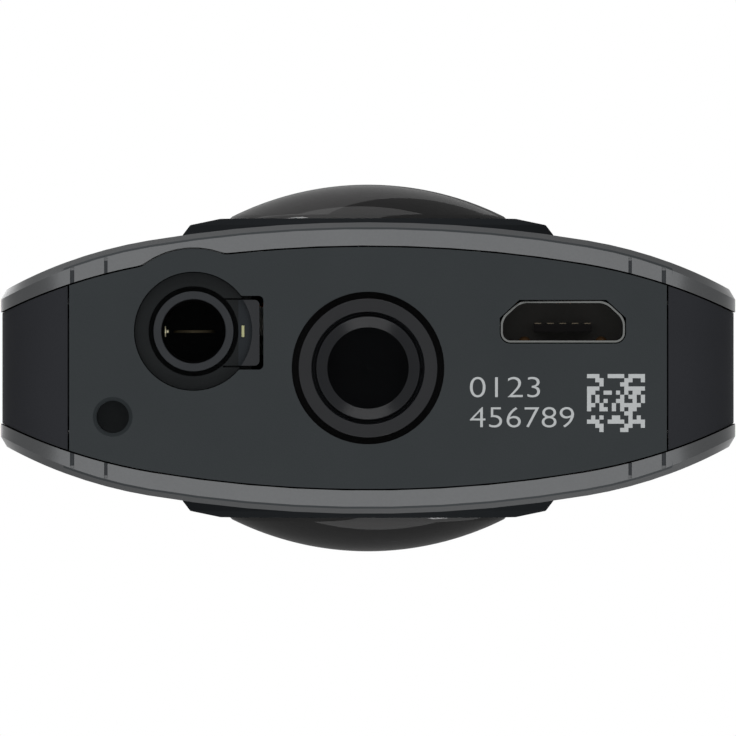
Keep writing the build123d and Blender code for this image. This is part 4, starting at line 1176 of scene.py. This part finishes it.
@dataclass
class BaseMarking:
    """Plain numbers and a plain field of squares, printed on the base plate."""

    rows: tuple[tuple[str, float, float], ...] = (("0123", 4.3, 0.55), ("456789", 6.39, 2.4))
    row_left: float = 6.26
    digit_height: float = 1.25
    field_low: Point = (13.45, 0.37)
    field_size: float = 3.56
    cells: int = 14
    ink_thickness: float = 0.01
    stroke_change: float = -0.012
    smooth: float = 20.0
    finish: Finish = PrintedInk("base_print", "a9acad", "9b9e9f", 0.6, 0.06, 3.0)

    def numbers(self, name: str, text: str, width: float, front: float) -> Object:
        """One row of digits, which reads from left to right as seen from below.

        Args:
            name: Name of the piece.
            text: The digits.
            width: Width of the row.
            front: Where the digits' tops lie along Y.

        Returns:
            The row as one mesh.
        """
        bpy.ops.object.text_add(location=(0, 0, 0))
        letters = bpy.context.object.data
        letters.body = text
        letters.extrude = self.ink_thickness * MM
        letters.offset = self.stroke_change
        bpy.ops.object.convert(target="MESH")
        piece = named(name)
        xs, ys = ([vertex.co[axis] for vertex in piece.data.vertices] for axis in (0, 1))
        across = width * MM / (max(xs) - min(xs))
        up = self.digit_height * MM / (max(ys) - min(ys))
        with editing(piece):
            bpy.ops.transform.translate(value=(-min(xs), -min(ys), 0))
            bpy.ops.transform.resize(value=(across, up, 1), center_override=(0, 0, 0))
        close_up(piece, self.smooth)
        stand(piece, (self.row_left, front + self.digit_height, 0), (180, 0, 0))
        bpy.ops.object.shade_flat()
        return piece

    def squares(self) -> Object:
        """Field of small squares, some printed and some bare.

        Returns:
            The piece.
        """
        middle = [(low + self.field_size / 2) * MM for low in self.field_low]
        bpy.ops.mesh.primitive_grid_add(x_subdivisions=self.cells, y_subdivisions=self.cells,
                                        size=self.field_size * MM, location=(*middle, 0))
        piece = named("base_squares")
        bpy.ops.object.transform_apply()
        cell = self.field_size / self.cells

        def bare(face: bpy.types.MeshPolygon) -> bool:
            """Whether a square stays bare, by a plain rule of its column and row."""
            column, row = [int((face.center[axis] / MM - self.field_low[axis]) / cell)
                           for axis in (0, 1)]
            return (3 * column * column + 5 * row * row + 7 * column * row + column) % 11 >= 5

        with choosing(piece, "FACE", bare):
            bpy.ops.mesh.delete(type="FACE")
            bpy.ops.mesh.select_all(action="SELECT")
            lift = {"value": (0, 0, -self.ink_thickness * MM)}
            bpy.ops.mesh.extrude_region_move(TRANSFORM_OT_translate=lift)
        close_up(piece, self.smooth)
        return piece

    def build(self) -> None:
        """Print both rows and the field."""
        for number, row in enumerate(self.rows, 1):
            hand_over(self.numbers(f"base_numbers_{number}", *row), self.finish)
        hand_over(self.squares(), self.finish)


@dataclass
class ShutterKey:
    """Round shutter key with a dished, spun face, and the ring round it."""

    dish: float = 0.35
    cap: float = 1.5
    flange: float = 0.65
    flange_thickness: float = 0.6
    stem_radius: float = 1.5
    pole_angle: float = 89.0
    edge: float = 0.25
    edge_angle: float = 80.0
    ring_edge: float = 0.12
    ring_outline: tuple[Point, ...] = (
        (6.1, 7.55), (6.1, 9.05), (7.25, 9.05), (7.25, 7.35), (8.35, 7.35), (8.35, 6.6),
        (6.75, 6.6), (6.75, 7.55), (6.1, 7.55))
    crown_radius: float = 82.0
    crown_start: float = 8.2

    def __post_init__(self) -> None:
        """Read the key's place from the frame."""
        self.low, self.high = node_span("shutter_button")
        self.middle = (self.low[2] + self.high[2]) / 2
        spun = {"centre": (0, 0, self.middle), "turn": (math.pi / 2, 0, 0)}
        self.face = TurnedMetal("shutter_face", "1f2023", "17181a", 0.34, pitch=0.16, depth=0.006,
                                metal=0.25, shine=0.35, **spun)
        self.trim = TurnedMetal("shutter_trim", "8d9093", "7b7e81", 0.28, pitch=0.1, **spun)

    def key(self) -> Object:
        """The key itself, turned from its outline.

        Returns:
            The piece.
        """
        face, end = -self.low[1], -self.high[1]
        flange_radius = (self.high[0] - self.low[0]) / 2
        radius = flange_radius - self.flange
        run = radius - self.edge
        curve = (run ** 2 + self.dish ** 2) / (2 * self.dish)
        angle = math.degrees(math.asin(run / curve))
        floor = face - self.dish
        shoulder = face - self.cap
        back = shoulder - self.flange_thickness
        points = [(POLE, floor)]
        points += ring_arc((0, floor + curve), curve, -self.pole_angle, -90.0 + angle, 24)
        points += ring_arc((run, face - self.edge), self.edge, self.edge_angle, 0, 6)
        points += [(radius, shoulder), (flange_radius, shoulder), (flange_radius, back),
                   (self.stem_radius, back), (self.stem_radius, end), (POLE, end)]
        piece = turned("shutter_cap", points, True)
        stand(piece, (0, 0, self.middle), (90, 0, 0))
        return piece

    def ring(self) -> Object:
        """Ring round the key, whose face follows the crown of the cover.

        Returns:
            The piece.
        """
        piece = turned("shutter_trim_ring", self.ring_outline)
        round_edges(piece, self.ring_edge, 3)
        stand(piece, (0, 0, self.middle), (90, 0, 0))
        radius = self.crown_radius * MM
        for vertex in piece.data.vertices:
            if vertex.co.y < -self.crown_start * MM:
                vertex.co.y += radius - math.sqrt(radius ** 2 - vertex.co.x ** 2)
        return piece

    def build(self) -> None:
        """Make the key, which rides on its own body, and the ring in the cover."""
        hand_over(self.key(), self.face, "shutter", ["shutter_button"])
        hand_over(self.ring(), self.trim, replaced=["shutter_ring"])


@dataclass
class SideKeys:
    """Three pill-shaped keys in the side frame."""

    names: tuple[str, ...] = ("power", "wireless", "mode")
    edge: float = 0.12
    finish: Finish = MouldedPlastic("side_key_satin", "202225", "1a1b1e", 0.4, shine=0.3,
                                    grain=0.08, depth=0.006)

    def build(self) -> None:
        """Round the edges of each key."""
        for name in self.names:
            piece = merged_copy(f"{name}_button", f"{name}_cap")
            round_edges(piece, self.edge, 3)
            hand_over(piece, self.finish, f"{name}_key", [f"{name}_button"])


@dataclass
class Studio:
    """Floor, lights, background and the camera that looks up at the base."""

    lens: float = 1650.0
    sensor: float = 36.0
    field_width: float = 45.2
    clip: Point = (0.1, 20.0)
    floor_drop: float = 0.06
    floor_radius: float = 0.9
    floor_fade: Point = (0.12, 0.5)
    paper: tuple[Colour, Colour] = ((0.93, 0.93, 0.93), (0.9, 0.9, 0.9))
    ambient: float = 0.33

    def world(self) -> None:
        """White for what the eye and the mirrors see, a plain level for the rest."""
        world = bpy.data.worlds.new("studio")
        bpy.context.scene.world = world
        graph = Graph(world)
        path = graph.node("ShaderNodeLightPath")
        camera, glossy, through = (Wire(graph, path.outputs[f"Is {ray} Ray"])
                                   for ray in ("Camera", "Glossy", "Transmission"))
        seen = camera.larger(glossy).larger(through)
        level = graph.wire("ShaderNodeMapRange", {"Value": seen, "To Min": self.ambient})
        back = graph.wire("ShaderNodeBackground", {"Color": WHITE, "Strength": level})
        graph.node("ShaderNodeOutputWorld", {"Surface": back})

    def floor(self) -> None:
        """Pale disc under the object that is clear from below and fades to white."""
        bpy.ops.mesh.primitive_circle_add(vertices=STEPS, radius=self.floor_radius,
                                          fill_type="NGON", location=(0, 0, -self.floor_drop * MM))
        disc = named("floor")
        bpy.ops.object.transform_apply()
        graph = Graph(bpy.data.materials.new("floor_paper"))
        near, far = self.floor_fade
        share = graph.wire("ShaderNodeMapRange",
                           {"Value": graph.radius(graph.place()), "From Min": near,
                            "From Max": far}, interpolation_type="SMOOTHSTEP")
        tone = graph.blend(graph.noise(3.0, 2.0), *self.paper)
        paper = graph.wire("ShaderNodeBsdfDiffuse", {"Color": tone})
        white = graph.wire("ShaderNodeEmission", {"Strength": 1.0})
        fade = graph.wire("ShaderNodeMixShader", {0: share, 1: paper, 2: white})
        behind = graph.wire("ShaderNodeNewGeometry", output="Backfacing")
        clear = graph.wire("ShaderNodeBsdfTransparent")
        seen = graph.wire("ShaderNodeMixShader", {0: behind, 1: fade, 2: clear})
        disc.data.materials.append(graph.close(seen))
        for ray in ("visible_diffuse", "visible_glossy", "visible_transmission", "visible_shadow"):
            setattr(disc, ray, False)

    def lamp(self, name: str, at: Sequence[float], size: Point, radiance: float,
             aim: Sequence[float]) -> None:
        """Soft box of a given brightness.

        Args:
            name: Name of the lamp.
            at: Its middle, in metres.
            size: Width and height in metres.
            radiance: How bright its face looks.
            aim: The point that it faces, in metres.
        """
        bpy.ops.object.light_add(type="AREA", location=at)
        made = named(name)
        made.data.shape = "RECTANGLE"
        made.data.size, made.data.size_y = size
        made.data.energy = radiance * math.pi * size[0] * size[1]
        made.rotation_mode = "QUATERNION"
        made.rotation_quaternion = (Vector(aim) - Vector(at)).to_track_quat("-Z", "Y")
        made.visible_camera = False

    def lamps(self) -> None:
        """Soft boxes on every side, with a strip below and a spark at the front and the rear."""
        base, middle = (0, 0, 0), (0, 0, 0.06)
        self.lamp("box_below", (0, 0, -0.5), (0.46, 0.56), 1.7, base)
        self.lamp("box_above", (-0.25, -0.35, 0.9), (0.7, 0.7), 1.4, middle)
        for side in Side:
            turn, word = side.value, side.word
            self.lamp(f"strip_{word}", (0, 0.42 * turn, -0.42), (0.46, 0.07), 10.0, base)
            self.lamp(f"box_{word}", (0.3 * turn, turn, 0.6), (0.9, 0.9), 1.8, middle)
            self.lamp(f"spark_{word}", (0.32 * turn, 0.7 * turn, 0.42), (0.12, 0.12), 12.0, middle)

    def camera(self) -> None:
        """Long lens under the base, with the front of the body at the top of the frame."""
        made = new_object("camera", bpy.data.cameras.new("camera"))
        data = made.data
        data.lens = self.lens
        data.sensor_width = self.sensor
        distance = self.field_width * MM * self.lens / self.sensor
        made.location = (0, 0, -distance)
        made.rotation_euler = (math.pi, 0, 0)
        data.clip_start, data.clip_end = self.clip
        bpy.context.scene.camera = made

    def build(self) -> None:
        """Set up the whole studio."""
        bpy.context.scene.view_settings.view_transform = "Standard"
        self.world()
        self.floor()
        self.lamps()
        self.camera()


def main() -> None:
    """Build every assembly in order."""
    logging.basicConfig(level=logging.INFO, format="%(message)s")
    Studio().build()
    dress_nodes()
    for side in Side:
        LensAssembly(side).build()
    for assembly in (TripodSocket(), MicJack(), UsbPort(), BaseMarking(), ShutterKey(), SideKeys()):
        assembly.build()


if __name__ == "__main__":
    main()
